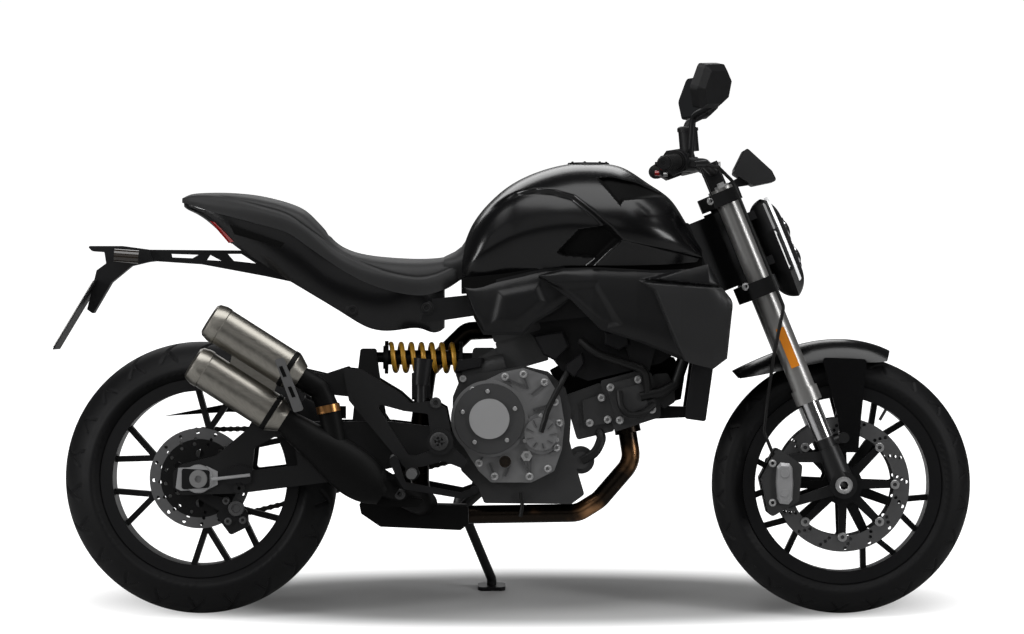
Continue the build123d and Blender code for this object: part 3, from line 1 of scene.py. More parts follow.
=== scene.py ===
# %% [markdown]
# # A naked motorcycle on its side stand
# This lesson dresses a packed CAD motorcycle for a studio picture. The CAD pieces stay where they are. Some
# get a soft edge and a finish, and others give way to a finer mesh that is built here in the same place.

# %% Load the frame
import json
import math

import bmesh
import bpy
from mathutils import Matrix, Vector
from mathutils.bvhtree import BVHTree


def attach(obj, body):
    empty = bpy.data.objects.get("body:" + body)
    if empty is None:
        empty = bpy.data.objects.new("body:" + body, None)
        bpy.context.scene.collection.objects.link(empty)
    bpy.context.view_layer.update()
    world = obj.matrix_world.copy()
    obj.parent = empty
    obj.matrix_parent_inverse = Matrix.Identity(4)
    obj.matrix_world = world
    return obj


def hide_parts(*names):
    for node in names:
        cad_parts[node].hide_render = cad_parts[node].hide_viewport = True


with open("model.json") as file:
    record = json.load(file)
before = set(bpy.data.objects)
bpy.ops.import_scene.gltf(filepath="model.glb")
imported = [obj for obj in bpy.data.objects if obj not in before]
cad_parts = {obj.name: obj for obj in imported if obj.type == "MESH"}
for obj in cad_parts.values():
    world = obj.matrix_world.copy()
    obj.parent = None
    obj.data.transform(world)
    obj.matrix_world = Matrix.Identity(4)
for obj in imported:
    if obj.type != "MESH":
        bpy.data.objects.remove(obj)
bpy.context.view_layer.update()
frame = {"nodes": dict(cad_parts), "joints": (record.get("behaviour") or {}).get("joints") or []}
NODES = frame["nodes"]
JOINTS = {joint["name"]: joint for joint in frame["joints"]}
print("CAD nodes", len(NODES))

# %% [markdown]
# ## Two rulers
# The machine leans, which makes measuring awkward. So everything here is measured on an upright machine, in
# metres, with X forward from the rear axle, Y to its left and Z up from the road. One matrix, found from
# the rear wheel's joint, then leans each piece over. A second ruler runs along the fork: ahead of it,
# across it and up it.

# %% The leaning matrix and the fork's ruler
REAR_R, FRONT_R, WHEELBASE = 0.313, 0.298, 1.474
spin = JOINTS["rear_wheel_spin"]
lean = math.asin(-spin["axis"][2])
LEAN = Matrix.Rotation(-lean, 4, "X")
LEAN = Matrix.Translation(Vector(spin["pos_m"]) - LEAN @ Vector((0, 0, REAR_R))) @ LEAN
stem = LEAN.to_3x3().inverted() @ Vector(JOINTS["steering_turn"]["axis"])
rake = math.atan2(-stem.x, stem.z)
FORK = Matrix.Translation((WHEELBASE, 0, FRONT_R)) @ Matrix.Rotation(-rake, 4, "Y")
print("lean", round(math.degrees(lean), 2), "rake", round(math.degrees(rake), 2))

# %% [markdown]
# ## Shader sums in plain Python
# A procedural finish is a sum over patterns. Wiring each Math node by hand hides the sum, so a small class
# wraps a socket and lets Python's own operators add the nodes. Every other node comes from one method.

# %% A socket that Python can add and multiply
class Pattern:
    """A value of a material's node tree."""

    def __init__(self, tree, socket):
        self.tree, self.socket = tree, socket

    def node(self, kind, settings=None, inputs=None, output=0):
        """Any node: its settings are set first, then the values or links of its sockets."""
        made = self.tree.nodes.new(kind)
        for key, value in (settings or {}).items():
            setattr(made, key, value)
        for key, value in (inputs or {}).items():
            if isinstance(value, Pattern):
                self.tree.links.new(value.socket, made.inputs[key])
            else:
                made.inputs[key].default_value = value
        return Pattern(self.tree, made.outputs[output])

    def maths(self, operation, a, b):
        return self.node("ShaderNodeMath", {"operation": operation}, {0: a, 1: b})

    def __add__(self, other):
        return self.maths("ADD", self, other)

    __radd__ = __add__

    def __mul__(self, other):
        return self.maths("MULTIPLY", self, other)

    __rmul__ = __mul__

    def __sub__(self, other):
        return self.maths("SUBTRACT", self, other)

    def __rsub__(self, other):
        return self.maths("SUBTRACT", other, self)

    def vector(self, operation, a, b=(0, 0, 0), output=0):
        return self.node("ShaderNodeVectorMath", {"operation": operation}, {0: a, 1: b}, output)

    def blur_step(self, low, high):
        """0 at low, 1 at high, and smooth between."""
        return self.node("ShaderNodeMapRange", {"interpolation_type": "SMOOTHSTEP"},
                         {0: self, 1: low, 2: high})

    def noise(self, scale, detail=2.0, stretch=(1, 1, 1)):
        """Noise over the piece, stretched along its axes. Call it on the material's coordinates."""
        return self.node("ShaderNodeTexNoise", None, {"Vector": self.vector("MULTIPLY", self, stretch),
                                                      "Scale": scale, "Detail": detail})

    def height_along(self, base, axis):
        """How far a point is from base, measured along axis."""
        return self.vector("DOT_PRODUCT", self.vector("SUBTRACT", self, base), axis, output=1)

    def off_axis(self, base, axis):
        """How far a point is from the line through base."""
        arm = self.vector("CROSS_PRODUCT", self.vector("SUBTRACT", self, base), axis)
        return self.vector("LENGTH", arm, output=1)

    def between(self, dark, light):
        """A colour that runs from dark to light as this value runs from 0 to 1."""
        return self.node("ShaderNodeMix", {"data_type": "RGBA"},
                         {0: self, 6: colour4(dark), 7: colour4(light)}, output=2)


print("Pattern has", len([name for name in vars(Pattern) if callable(getattr(Pattern, name))]), "methods")

# %% [markdown]
# ## One function for every finish
# Nearly every surface here is the same shader with other numbers. A constant is set on the shader's own
# socket. A look is a function of the piece's coordinates that gives patterns for some sockets, and a bump
# gives a height.

# %% The function that makes a finish
def colour4(colour):
    return colour if isinstance(colour, Pattern) else (*colour, 1)


def finish(name, colour, rough, metal=0.0, look=None, bump=None, depth=0.0002, **constants):
    """A material. look(coordinates) may give patterns for its sockets, and bump(coordinates) a height."""
    material = bpy.data.materials.new(name)
    material.use_nodes = True
    tree = material.node_tree
    shader = tree.nodes["Principled BSDF"]
    shader.inputs["Base Color"].default_value = (*colour, 1)
    shader.inputs["Roughness"].default_value = rough
    shader.inputs["Metallic"].default_value = metal
    for key, value in constants.items():
        label = key.replace("_", " ").title().replace("Ior", "IOR")
        shader.inputs[label].default_value = value
    coordinates = Pattern(tree, tree.nodes.new("ShaderNodeTexCoord").outputs["Object"])
    for key, value in (look(coordinates) if look else {}).items():
        tree.links.new(value.socket, shader.inputs[key])
    if bump:
        height = {"Height": bump(coordinates), "Distance": depth, "Strength": 0.6}
        tree.links.new(coordinates.node("ShaderNodeBump", None, height).socket, shader.inputs["Normal"])
    return material


print("finishes are made by", finish.__name__)

# %% [markdown]
# ## Paints, plastics and rubber
# Nearly everything here is black, and only the gloss tells the pieces apart. Body panels have a satin
# lacquer, plastics a fine moulded grain, and the seat's vinyl is the dullest. A black that throws back
# little light stays black under wide studio lamps, so the specular level is kept low where the real skin is
# dull.

# %% Paints, plastics and rubber
def grain(scale, detail=2.0):
    return lambda at: at.noise(scale, detail)


def worn(low, high, scale=9.0):
    """Roughness that wanders a little, as on any handled surface."""
    return lambda at: {"Roughness": at.noise(scale, 3.0) * (high - low) + low}


def cells(scale):
    return lambda at: at.node("ShaderNodeTexVoronoi", None, {"Vector": at, "Scale": scale})


GLOSS_BLACK = finish("satin_lacquer", (0.0025, 0.0025, 0.0028), 0.24, look=worn(0.21, 0.27),
                     specular_ior_level=0.32, coat_weight=0.06, coat_roughness=0.08)
WHEEL_BLACK = finish("wheel_paint", (0.004, 0.004, 0.0045), 0.34, look=worn(0.3, 0.42),
                     specular_ior_level=0.3)
PANEL_GREY = finish("panel_grey", (0.016, 0.016, 0.0165), 0.42, look=worn(0.38, 0.47), bump=grain(900),
                    depth=0.00006, specular_ior_level=0.3)
PANEL_BLACK = finish("panel_black", (0.005, 0.005, 0.0054), 0.36, look=worn(0.32, 0.42), bump=grain(900),
                     depth=0.00006, specular_ior_level=0.26)
MOULDED_BLACK = finish("moulded_plastic", (0.0045, 0.0045, 0.005), 0.5, look=worn(0.44, 0.58),
                       bump=grain(1200), depth=0.0001, specular_ior_level=0.22)
# A near-black with almost no gloss. It is the real matte colour of the tank's pocket and scoop. On the tail
# vents, the peg slots, the plate behind the hoses and the strip under the tank it is painted shade.
MATTE_BLACK_AND_PAINTED_SHADE = finish("matte_black_and_painted_shade", (0.0015, 0.0015, 0.0015), 0.7, look=worn(0.62, 0.78),
                   specular_ior_level=0.08)
SEAT_VINYL = finish("seat_vinyl", (0.0145, 0.0145, 0.015), 0.58, look=worn(0.52, 0.66), bump=cells(420),
                    depth=0.0003, specular_ior_level=0.35)
GRIP_RUBBER = finish("grip_rubber", (0.005, 0.005, 0.005), 0.7, look=worn(0.62, 0.78), bump=grain(700),
                     specular_ior_level=0.2)
TYRE_RUBBER = finish("tyre_rubber", (0.0036, 0.0036, 0.004), 0.56, look=worn(0.5, 0.64, 25),
                     bump=grain(500), specular_ior_level=0.17)
HOSE_RUBBER = finish("hose_rubber", (0.004, 0.004, 0.004), 0.45, look=worn(0.4, 0.52),
                     specular_ior_level=0.25)
ORANGE = finish("orange_reflector", (0.62, 0.2, 0.012), 0.25, bump=cells(300), depth=0.0004)
RED_LENS = finish("red_lens", (0.3, 0.006, 0.006), 0.12, coat_weight=1.0)
SMOKED_LENS = finish("smoked_lens", (0.012, 0.008, 0.005), 0.12, coat_weight=0.5)
PLATE_WHITE = finish("blank_plate", (0.62, 0.62, 0.6), 0.45, look=worn(0.4, 0.5))
GLASS_DARK = finish("lamp_glass", (0.012, 0.0125, 0.013), 0.05, coat_weight=0.6)
LAMP_WHITE = finish("lamp_strip", (0.85, 0.86, 0.87), 0.2, emission_color=(1, 1, 1, 1),
                    emission_strength=0.3)
SCREEN = finish("dash_screen", (0.01, 0.011, 0.012), 0.08, coat_weight=1.0)
print("paints, plastics and rubber made")

# %% [markdown]
# ## Metals
# Cast engine metal gets a coarse skin, turned and brushed metal a stretched noise, and the exhaust a heat
# tint that wanders from straw to brown. A few pieces are one casting in two colours, so their finish asks
# how far a point lies along or off a line of the machine.

# %% Looks of metal
AXLE_AXIS = LEAN.to_3x3() @ Vector((0, 1, 0))
FORK_AXIS = LEAN.to_3x3() @ (FORK.to_3x3() @ Vector((0, 0, 1)))
FORK_FOOT_TOP = 0.116
CLUTCH_CENTRE = (0.664, 0.45)


def brushed(colour, light, stretch, low, high):
    """Fine scratches that run one way, in colour and in roughness."""
    def look(at):
        lines = at.noise(60.0, 4.0, stretch)
        return {"Base Color": lines.between(colour, light), "Roughness": lines * (high - low) + low}
    return look


def heat_tint(at):
    """Brown patches over sooty steel, on the pipe ahead of the engine's middle."""
    ahead = at.height_along(LEAN @ Vector((0.66, 0, 0)), (1, 0, 0)).blur_step(0.0, 0.08)
    patches = at.noise(9.0, 3.0).blur_step(0.48, 0.7) * ahead
    return {"Base Color": patches.between((0.018, 0.014, 0.011), (0.34, 0.18, 0.085)),
            "Roughness": at.noise(90.0, 3.0) * 0.2 + 0.2}


def fork_leg(at):
    """Bright tube above, dark cast foot below."""
    foot_top = LEAN @ (FORK @ Vector((0, 0, FORK_FOOT_TOP)))
    tube = at.height_along(foot_top, FORK_AXIS).blur_step(-0.001, 0.001)
    return {"Base Color": tube.between((0.009, 0.009, 0.0095), (0.62, 0.62, 0.63)),
            "Metallic": tube * 0.7 + 0.3, "Roughness": 0.42 - tube * 0.26}


def ringed(centre, steps, dark, light):
    """Rings round a line across the machine: light to the first radius, dark to the second, then light."""
    def look(at):
        out = at.off_axis(LEAN @ Vector(centre), AXLE_AXIS)
        inner = 1 - out.blur_step(steps[0] - 0.0006, steps[0] + 0.0006)
        outer = out.blur_step(steps[1] - 0.0006, steps[1] + 0.0006) * steps[2]
        return {"Base Color": (inner + outer).between(dark, light)}
    return look


print("axle axis", [round(value, 3) for value in AXLE_AXIS])

# %% [markdown]
# ## The metals themselves
# Black alloy, grey castings and a little bright steel make up the running gear. Bright steel is mixed with
# some plain colour, because a full metal only mirrors the dark studio and would look black.

# %% Castings, alloys and steels
CAST_DARK = finish("dark_casting", (0.036, 0.036, 0.0365), 0.48, 0.3, worn(0.42, 0.56, 30), grain(450, 3),
                   0.0002, specular_ior_level=0.3)
CAST_GREY = finish("grey_casting", (0.08, 0.08, 0.081), 0.42, 0.5, worn(0.36, 0.5, 30), grain(450, 3),
                   0.00018, specular_ior_level=0.35)
PEG_GREY = finish("peg_casting", (0.15, 0.15, 0.151), 0.4, 0.7, worn(0.34, 0.46, 30), grain(450, 3),
                  0.00018)
CLUTCH_GREY = finish("clutch_casting", (0.04, 0.04, 0.041), 0.4, 0.5,
                     ringed((CLUTCH_CENTRE[0], 0, CLUTCH_CENTRE[1]), (0.046, 0.081, 0.42),
                            (0.06, 0.06, 0.061), (0.36, 0.36, 0.363)), grain(450, 3), 0.00015)
ALLOY_BLACK = finish("black_alloy", (0.006, 0.006, 0.0065), 0.4, 0.2, worn(0.34, 0.46), grain(600), 0.00008,
                     specular_ior_level=0.3)
ALLOY_GREY = finish("grey_alloy", (0.013, 0.013, 0.0134), 0.42, 0.4, worn(0.36, 0.48), grain(600), 0.00008,
                    specular_ior_level=0.35)
ANODISED = finish("dark_anodised", (0.3, 0.296, 0.29), 0.34, 0.75, worn(0.28, 0.4))
CHROME = finish("hard_chrome", (0.6, 0.6, 0.61), 0.12, 1.0)
FORK_LEG = finish("fork_leg", (0.4, 0.4, 0.41), 0.3, 1.0, fork_leg)
BARE_STEEL = finish("bare_steel", (0.44, 0.44, 0.44), 0.32, 0.65, worn(0.24, 0.38, 60))
AXLE_RINGS = ringed((0, 0, REAR_R), (0.0205, 0.0205, 0.0), (0.03, 0.03, 0.031), (0.42, 0.42, 0.42))
AXLE_STEEL = finish("axle_steel", (0.2, 0.2, 0.2), 0.32, 0.9, AXLE_RINGS)
CAST_SILVER = finish("silver_casting", (0.36, 0.36, 0.365), 0.42, 0.6, worn(0.36, 0.5, 40), grain(400, 3),
                     0.00015)
DISC_STEEL = finish("disc_steel", (0.14, 0.14, 0.142), 0.4, 0.8, worn(0.34, 0.46, 40))
REAR_DISC_STEEL = finish("rear_disc_steel", (0.14, 0.14, 0.142), 0.4, 0.6,
                         ringed((0, 0, REAR_R), (0.0, 0.09, 1.0), (0.006, 0.006, 0.0062),
                                (0.13, 0.13, 0.132)))
MUFFLER_METAL = finish("brushed_muffler", (0.3, 0.28, 0.25), 0.34, 1.0,
                       brushed((0.2, 0.19, 0.17), (0.34, 0.325, 0.29), (1, 12, 1), 0.28, 0.42))
HEADER_STEEL = finish("heat_tinted_steel", (0.1, 0.07, 0.05), 0.3, 1.0, heat_tint)
EXHAUST_BLACK = finish("exhaust_black", (0.0028, 0.0028, 0.0028), 0.5, 0.1, worn(0.44, 0.58, 20),
                       specular_ior_level=0.1)
GOLD = finish("gold_spring_paint", (0.72, 0.38, 0.04), 0.36, 0.2, worn(0.3, 0.42, 40))
CHAIN_STEEL = finish("oiled_chain", (0.06, 0.058, 0.054), 0.36, 0.9, worn(0.3, 0.45, 60))
MIRROR = finish("mirror_glass", (0.3, 0.31, 0.33), 0.03, 1.0)
BRONZE = finish("bronze_clamp", (0.45, 0.22, 0.08), 0.3, 1.0, worn(0.24, 0.4, 60))
print("metals made")

# %% [markdown]
# ## Dressing the CAD pieces
# A CAD edge is perfectly sharp, and no real edge is. A narrow bevel on each kept node catches the light
# along its edges and does not move the node. Each node then gets its finish.

# %% Finishes and soft edges for the CAD nodes
DRESS = {
    WHEEL_BLACK: ("front_rim", "rear_rim"),
    TYRE_RUBBER: ("front_tyre", "rear_tyre"),
    DISC_STEEL: ("front_discs",),
    REAR_DISC_STEEL: ("rear_disc",),
    ANODISED: ("fork_uppers",),
    AXLE_STEEL: ("rear_axle",),
    BARE_STEEL: ("rear_sprocket",),
    FORK_LEG: ("fork_lowers",),
    ALLOY_BLACK: ("fork_yokes", "handlebar", "hand_levers", "frame", "side_stand", "disc_carriers",
                  "foot_controls", "shock_damper"),
    ALLOY_GREY: ("swingarm", "footrest_brackets", "front_axle"),
    GRIP_RUBBER: ("grips",),
    MOULDED_BLACK: ("hand_controls", "plate_hanger", "chain_guard", "airbox", "headlight_shell", "radiator",
                    "rear_caliper", "mirrors"),
    PANEL_GREY: ("side_panels", "dash"),
    PANEL_BLACK: ("airbox_covers",),
    GLOSS_BLACK: ("fuel_tank", "tail_unit", "front_mudguard"),
    SEAT_VINYL: ("seat",),
    CAST_DARK: ("crankcase", "front_cylinder", "rear_cylinder", "alternator_cover", "front_calipers"),
    CLUTCH_GREY: ("clutch_cover",),
    PEG_GREY: ("footpegs",),
    HEADER_STEEL: ("exhaust_headers",),
    EXHAUST_BLACK: ("exhaust_box", "exhaust_link"),
    MUFFLER_METAL: ("mufflers",),
    GOLD: ("shock_spring",),
    CHAIN_STEEL: ("chain",),
    HOSE_RUBBER: ("brake_hoses", "coolant_hoses"),
    ORANGE: ("fork_reflectors",),
    RED_LENS: ("tail_light",),
    SMOKED_LENS: ("rear_indicators",),
    PLATE_WHITE: ("number_plate",),
    MIRROR: ("mirror_glass",),
    GLASS_DARK: ("headlight_lens",),
}
SHARP = {"front_tyre", "rear_tyre", "shock_spring", "mirror_glass", "chain", "front_discs", "rear_disc",
         "fuel_tank", "seat"}
ROUNDED = {"swingarm": 0.007, "footrest_brackets": 0.005, "crankcase": 0.006, "front_cylinder": 0.005,
           "rear_cylinder": 0.005, "clutch_cover": 0.0035, "alternator_cover": 0.004, "exhaust_box": 0.009,
           "rear_caliper": 0.005, "front_calipers": 0.004, "fork_yokes": 0.005, "dash": 0.005,
           "headlight_shell": 0.004, "radiator": 0.004, "front_mudguard": 0.0015}
for material, names in DRESS.items():
    for name in names:
        node = NODES[name]
        node.data.materials.clear()
        node.data.materials.append(material)
        if name not in SHARP:
            soft = node.modifiers.new("soft_edge", "BEVEL")
            soft.width, soft.segments = ROUNDED.get(name, 0.0018), 3 if name in ROUNDED else 2
            soft.limit_method, soft.angle_limit = "ANGLE", math.radians(35)
            soft.harden_normals = True
print("dressed", sum(len(names) for names in DRESS.values()), "of", len(NODES), "nodes")

# %% [markdown]
# ## Shapes made from points
# The finer pieces are meshes gathered from a few shapes: skins over rings of points, turned shapes, rods
# along a bent line and plates cut to an outline. A kit collects the points and faces of one piece. The last
# step leans it over, smooths it and hands it to the body it rides on.

class Kit:
    """The points, faces and finishes of one piece, on the upright machine."""

    def __init__(self):
        self.points, self.faces, self.finishes = [], [], []

    def add(self, points, faces, finish=0):
        start = len(self.points)
        self.points += [tuple(point) for point in points]
        self.faces += [[start + index for index in face] for face in faces]
        self.finishes += [finish] * len(faces)
        return self

    def skin(self, rings, loop=True, closed=False, caps=True, finish=0):
        """A skin over rings of equal length. loop joins a ring's ends, closed the last ring to the first."""
        count, faces = len(rings[0]), []
        for i in range(len(rings) if closed else len(rings) - 1):
            near, far = i * count, (i + 1) % len(rings) * count
            for j in range(count if loop else count - 1):
                k = (j + 1) % count
                faces.append([near + j, near + k, far + k, far + j])
        if caps and not closed:
            faces += [list(range(count))[::-1], list(range((len(rings) - 1) * count, len(rings) * count))]
        return self.add([point for ring in rings for point in ring], faces, finish)

    def turned(self, profile, place, steps=24, finish=0):
        """(radius, height) points turned about the local Z axis of place."""
        rings = []
        for i in range(steps):
            turn = math.tau * i / steps
            rings.append([place @ Vector((r * math.cos(turn), r * math.sin(turn), h)) for r, h in profile])
        return self.skin(rings, loop=False, closed=True, finish=finish)

    def rod(self, route, radius, sides=10, finish=0):
        """A round rod along a bent line."""
        route = [Vector(point) for point in route]
        across = (route[1] - route[0]).orthogonal().normalized()
        rings = []
        for i, point in enumerate(route):
            ahead = (route[min(i + 1, len(route) - 1)] - route[max(i - 1, 0)]).normalized()
            across = (across - ahead * across.dot(ahead)).normalized()
            side = ahead.cross(across)
            turns = [math.tau * k / sides for k in range(sides)]
            rings.append([point + radius * (math.cos(t) * across + math.sin(t) * side) for t in turns])
        return self.skin(rings, finish=finish)

    def plate(self, outline, low, high, finish=0, place=Matrix()):
        """A flat outline given thickness. The outline's (a, b) are X and Z, the thickness runs along Y."""
        rings = [[place @ Vector((a, y, b)) for a, b in outline] for y in (low, high)]
        return self.skin(rings, finish=finish)

    def mirrored(self):
        """The same again on the other side of the machine."""
        count, start = len(self.faces), len(self.points)
        self.points += [(x, -y, z) for x, y, z in self.points]
        self.faces += [[start + index for index in face[::-1]] for face in self.faces[:count]]
        self.finishes += self.finishes[:count]
        return self

    def make(self, name, materials, body, slot, instead_of=(), sharp=35):
        """The piece itself, leant over and riding its body."""
        mesh = bpy.data.meshes.new(name)
        mesh.from_pydata([LEAN @ Vector(point) for point in self.points], [], self.faces)
        for material in materials if isinstance(materials, tuple) else (materials,):
            mesh.materials.append(material)
        mesh.polygons.foreach_set("material_index", self.finishes)
        work = bmesh.new()
        work.from_mesh(mesh)
        bmesh.ops.recalc_face_normals(work, faces=work.faces)
        work.to_mesh(mesh)
        work.free()
        mesh.shade_smooth()
        mesh.set_sharp_from_angle(angle=math.radians(sharp))
        made = bpy.data.objects.new(name, mesh)
        bpy.context.scene.collection.objects.link(made)
        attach(made, body)
        if instead_of:
            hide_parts(*instead_of)
        print(name, len(mesh.polygons), "faces")
        return made


print("Kit can", [name for name in vars(Kit) if not name.startswith("_")])

# %% [markdown]
# ## Curves and outlines
# Some small helpers come up again and again: a place on the machine's side that faces outward, a smooth
# curve through a few points, a soft step, the depth of a point inside an outline, and millimetres for
# reading points off the side view.

# %% Curves and outlines
RIGHT, LEFT = -1, 1


def facing(x, y, z, side):
    """A place on the machine's side whose own Z points outward."""
    return Matrix.Translation((x, y, z)) @ Matrix.Rotation(math.radians(-90 * side), 4, "X")


def flow(points, per):
    """More points along the smooth curve through these, per to each gap."""
    rows = [Vector(point) for point in points]
    rows = [rows[0] * 2 - rows[1], *rows, rows[-1] * 2 - rows[-2]]
    out = []
    for i in range(1, len(rows) - 2):
        a, b, c, d = rows[i - 1:i + 3]
        for k in range(per):
            t = k / per
            bend, twist = a * 2 - b * 5 + c * 4 - d, b * 3 - a - c * 3 + d
            out.append(0.5 * (b * 2 + (c - a) * t + bend * t ** 2 + twist * t ** 3))
    return out + [rows[-2]]


def ease(value):
    """0 below 0, 1 above 1, and smooth between."""
    value = min(1.0, max(0.0, value))
    return value * value * (3 - 2 * value)


def depth_in(outline, x, z):
    """How deep (x, z) lies inside an outline, and less than 0 outside it."""
    nearest, inside = 9.0, False
    for (ax, az), (bx, bz) in zip(outline, outline[1:] + outline[:1]):
        dx, dz = bx - ax, bz - az
        t = min(1.0, max(0.0, ((x - ax) * dx + (z - az) * dz) / (dx * dx + dz * dz)))
        nearest = min(nearest, math.hypot(x - ax - t * dx, z - az - t * dz))
        if (az > z) != (bz > z) and x < ax + (z - az) * dx / dz:
            inside = not inside
    return nearest if inside else -nearest


def mm(*points):
    """Points read in millimetres, as metres."""
    return [tuple(value / 1000 for value in point) for point in points]


print("10 mm is", mm((10,)), "and half a soft step is", ease(0.5))

# %% [markdown]
# ## Feeling for a face
# A screw or a slot must sit on the piece that carries it. A ray sent at a CAD node finds its face, and a
# patch of rays lays a thin skin on it.

# %% Feeling for a face of a CAD node
TREES = {}
UPRIGHT = LEAN.inverted()


def touch(name, start, heading):
    """Where a line from a point first meets a CAD node, all on the upright machine."""
    if name not in TREES:
        mesh = NODES[name].data
        TREES[name] = BVHTree.FromPolygons([UPRIGHT @ v.co for v in mesh.vertices],
                                           [p.vertices for p in mesh.polygons])
    return TREES[name].ray_cast(Vector(start), Vector(heading))[0]


def side_of(name, x, z, side=RIGHT):
    """How far across the machine a node's outer face lies at (x, z)."""
    hit = touch(name, (x, side * 0.8, z), (0, -side, 0))
    return hit.y if hit else None


def patch(kit, name, corners, lift, rows=8, columns=16, finish=0, side=RIGHT):
    """A thin skin laid on a node's side between four (x, z) corners, standing lift proud of it."""
    a, b, c, d = (Vector(corner) for corner in corners)
    outer, last = [], 0.0
    for i in range(columns + 1):
        line = []
        for j in range(rows + 1):
            spot = a.lerp(b, i / columns).lerp(d.lerp(c, i / columns), j / rows)
            y = side_of(name, spot.x, spot.y, side)
            last = last if y is None else y
            line.append((spot.x, last + side * lift, spot.y))
        outer.append(line)
    rings = [line + [(x, y - side * (lift + 0.003), z) for x, y, z in reversed(line)] for line in outer]
    return kit.skin(rings, finish=finish)


print("the swingarm's right face is at y", round(side_of("swingarm", 0.06, REAR_R), 4))

# %% [markdown]
# ## Tyres
# A road tyre is a turned shape with a few long slanted grooves that lead water out from the crown. The
# grooves are cut into the mesh itself, so that they show in outline. The sidewalls carry only some slanted
# bars.

# %% Tyres with grooves
def tyre(name, node, body, hub_x, radius, height, width, crown, bead, sets):
    """One tyre: its outline turned about the axle, less the grooves."""
    bead_r, shoulder = radius - height, math.radians(57)
    side_y, side_r = crown * math.sin(shoulder), radius - crown + crown * math.cos(shoulder)
    lip_r = bead_r + 0.0135
    wall = flow([(lip_r, bead / 2 + 0.004), ((lip_r + side_r) / 2, width / 2), (side_r, side_y)], 9)[:-1]
    arc = [shoulder * (1 - k / 22) for k in range(45)]
    outline = [(bead_r, bead / 2 - 0.004, None)] + [(r, y, None) for r, y in wall]
    outline += [(radius - crown + crown * math.cos(a), crown * math.sin(a), a / shoulder) for a in arc]
    outline += [(r, -y, None) for r, y in reversed(wall)] + [(bead_r, -bead / 2 + 0.004, None)]
    steps = sets * 48
    rings = []
    for i in range(steps):
        turn = math.tau * i / steps
        ring = []
        for r, y, across in outline:
            phase = turn * sets / math.tau
            if across is not None:
                side = phase if across > 0 else phase + 0.5
                reach = abs(across)
                slant = abs((side - 0.75 * reach) % 1.0 - 0.5)
                short = abs((side + 0.35 + 0.5 * reach) % 1.0 - 0.5)
                long_cut = ease((0.062 - slant) / 0.03) * ease((reach - 0.1) / 0.08)
                long_cut *= ease((0.9 - reach) / 0.08)
                short_cut = ease((0.05 - short) / 0.03) * ease((reach - 0.45) / 0.08)
                short_cut *= ease((0.97 - reach) / 0.06)
                r -= 0.0042 * max(long_cut, short_cut)
            else:
                bars = ease((abs((phase * 4 + 60 * r) % 1.0 - 0.5) - 0.25) / 0.1)
                bars *= ease((0.006 - abs(r - lip_r - 0.014)) / 0.003)
                y += math.copysign(0.0009 * bars * (math.sin(phase * math.tau / 3) > 0.2), y)
            ring.append((hub_x + r * math.cos(turn), y, radius + r * math.sin(turn)))
        rings.append(ring)
    return Kit().skin(rings, loop=False, closed=True).make(name, TYRE_RUBBER, body, node, (node,), 40)


tyre("front_tyre_grooved", "front_tyre", "front_wheel", WHEELBASE, FRONT_R,
     height=0.082, width=0.12, crown=0.064, bead=0.092, sets=22)
tyre("rear_tyre_grooved", "rear_tyre", "rear_wheel", 0.0, REAR_R,
     height=0.097, width=0.18, crown=0.098, bead=0.14, sets=22)

# %% [markdown]
# ## Wheels and brakes
# The front discs float on round bobbins between the disc and its carrier, and each disc is drilled. The
# wheel also has a tyre valve. These are small turned pieces, set round the axle at equal angles.

# %% Bobbins and valves
BOBBINS, BOBBIN_TRACK, DISC_FACE_Y = 8, 0.1205, 0.0685
VALVE_TURN = math.radians(59)
bobbins = Kit()
for side in (RIGHT, LEFT):
    for i in range(BOBBINS):
        turn = math.tau * i / BOBBINS
        x, z = WHEELBASE + BOBBIN_TRACK * math.cos(turn), FRONT_R + BOBBIN_TRACK * math.sin(turn)
        bobbins.turned([(0.0045, 0.0016), (0.0045, 0.004), (0.0095, 0.004), (0.0105, 0.003),
                        (0.0105, -0.006)], facing(x, side * DISC_FACE_Y, z, side), 20)
bobbins.make("disc_bobbins", BARE_STEEL, "front_wheel", "front_discs")
for name, body, x, radius in (("front_valve", "front_wheel", WHEELBASE, FRONT_R),
                              ("rear_valve", "rear_wheel", 0, REAR_R)):
    ends = [(x + r * math.cos(VALVE_TURN), y, radius + r * math.sin(VALVE_TURN))
            for r, y in ((0.209, -0.012), (0.172, -0.02))]
    valve = Kit().rod(ends, 0.0036)
    valve.make(name, BARE_STEEL, body, body.replace("wheel", "rim"))

# %% [markdown]
# ## The tank
# The tank is pressed from steel sheet in halves and welded. Its smooth hull comes from cross sections. The
# knee hollow, the pocket below it and the black scoop at the front shoulder are pressed in along outlines
# read from the side.

# %% The tank's hull and its pressings
def hull(sections, per_gap, per_side, reshape):
    """Rings round a hull of (x, low, high, low width, middle width, top width) sections, moved by reshape."""
    rings = []
    for x, low, high, w_low, w_mid, w_top in flow(mm(*sections), per_gap):
        rise = high - low
        half = [(w_low, low), (w_mid, low + 0.45 * rise), (w_top, low + 0.86 * rise), (0, high)]
        curve = flow([(-y, z) for y, z in half] + [(y, z) for y, z in half[-2::-1]], per_side)
        rings.append([reshape(x, y, z, low) for y, z in curve])
    return rings


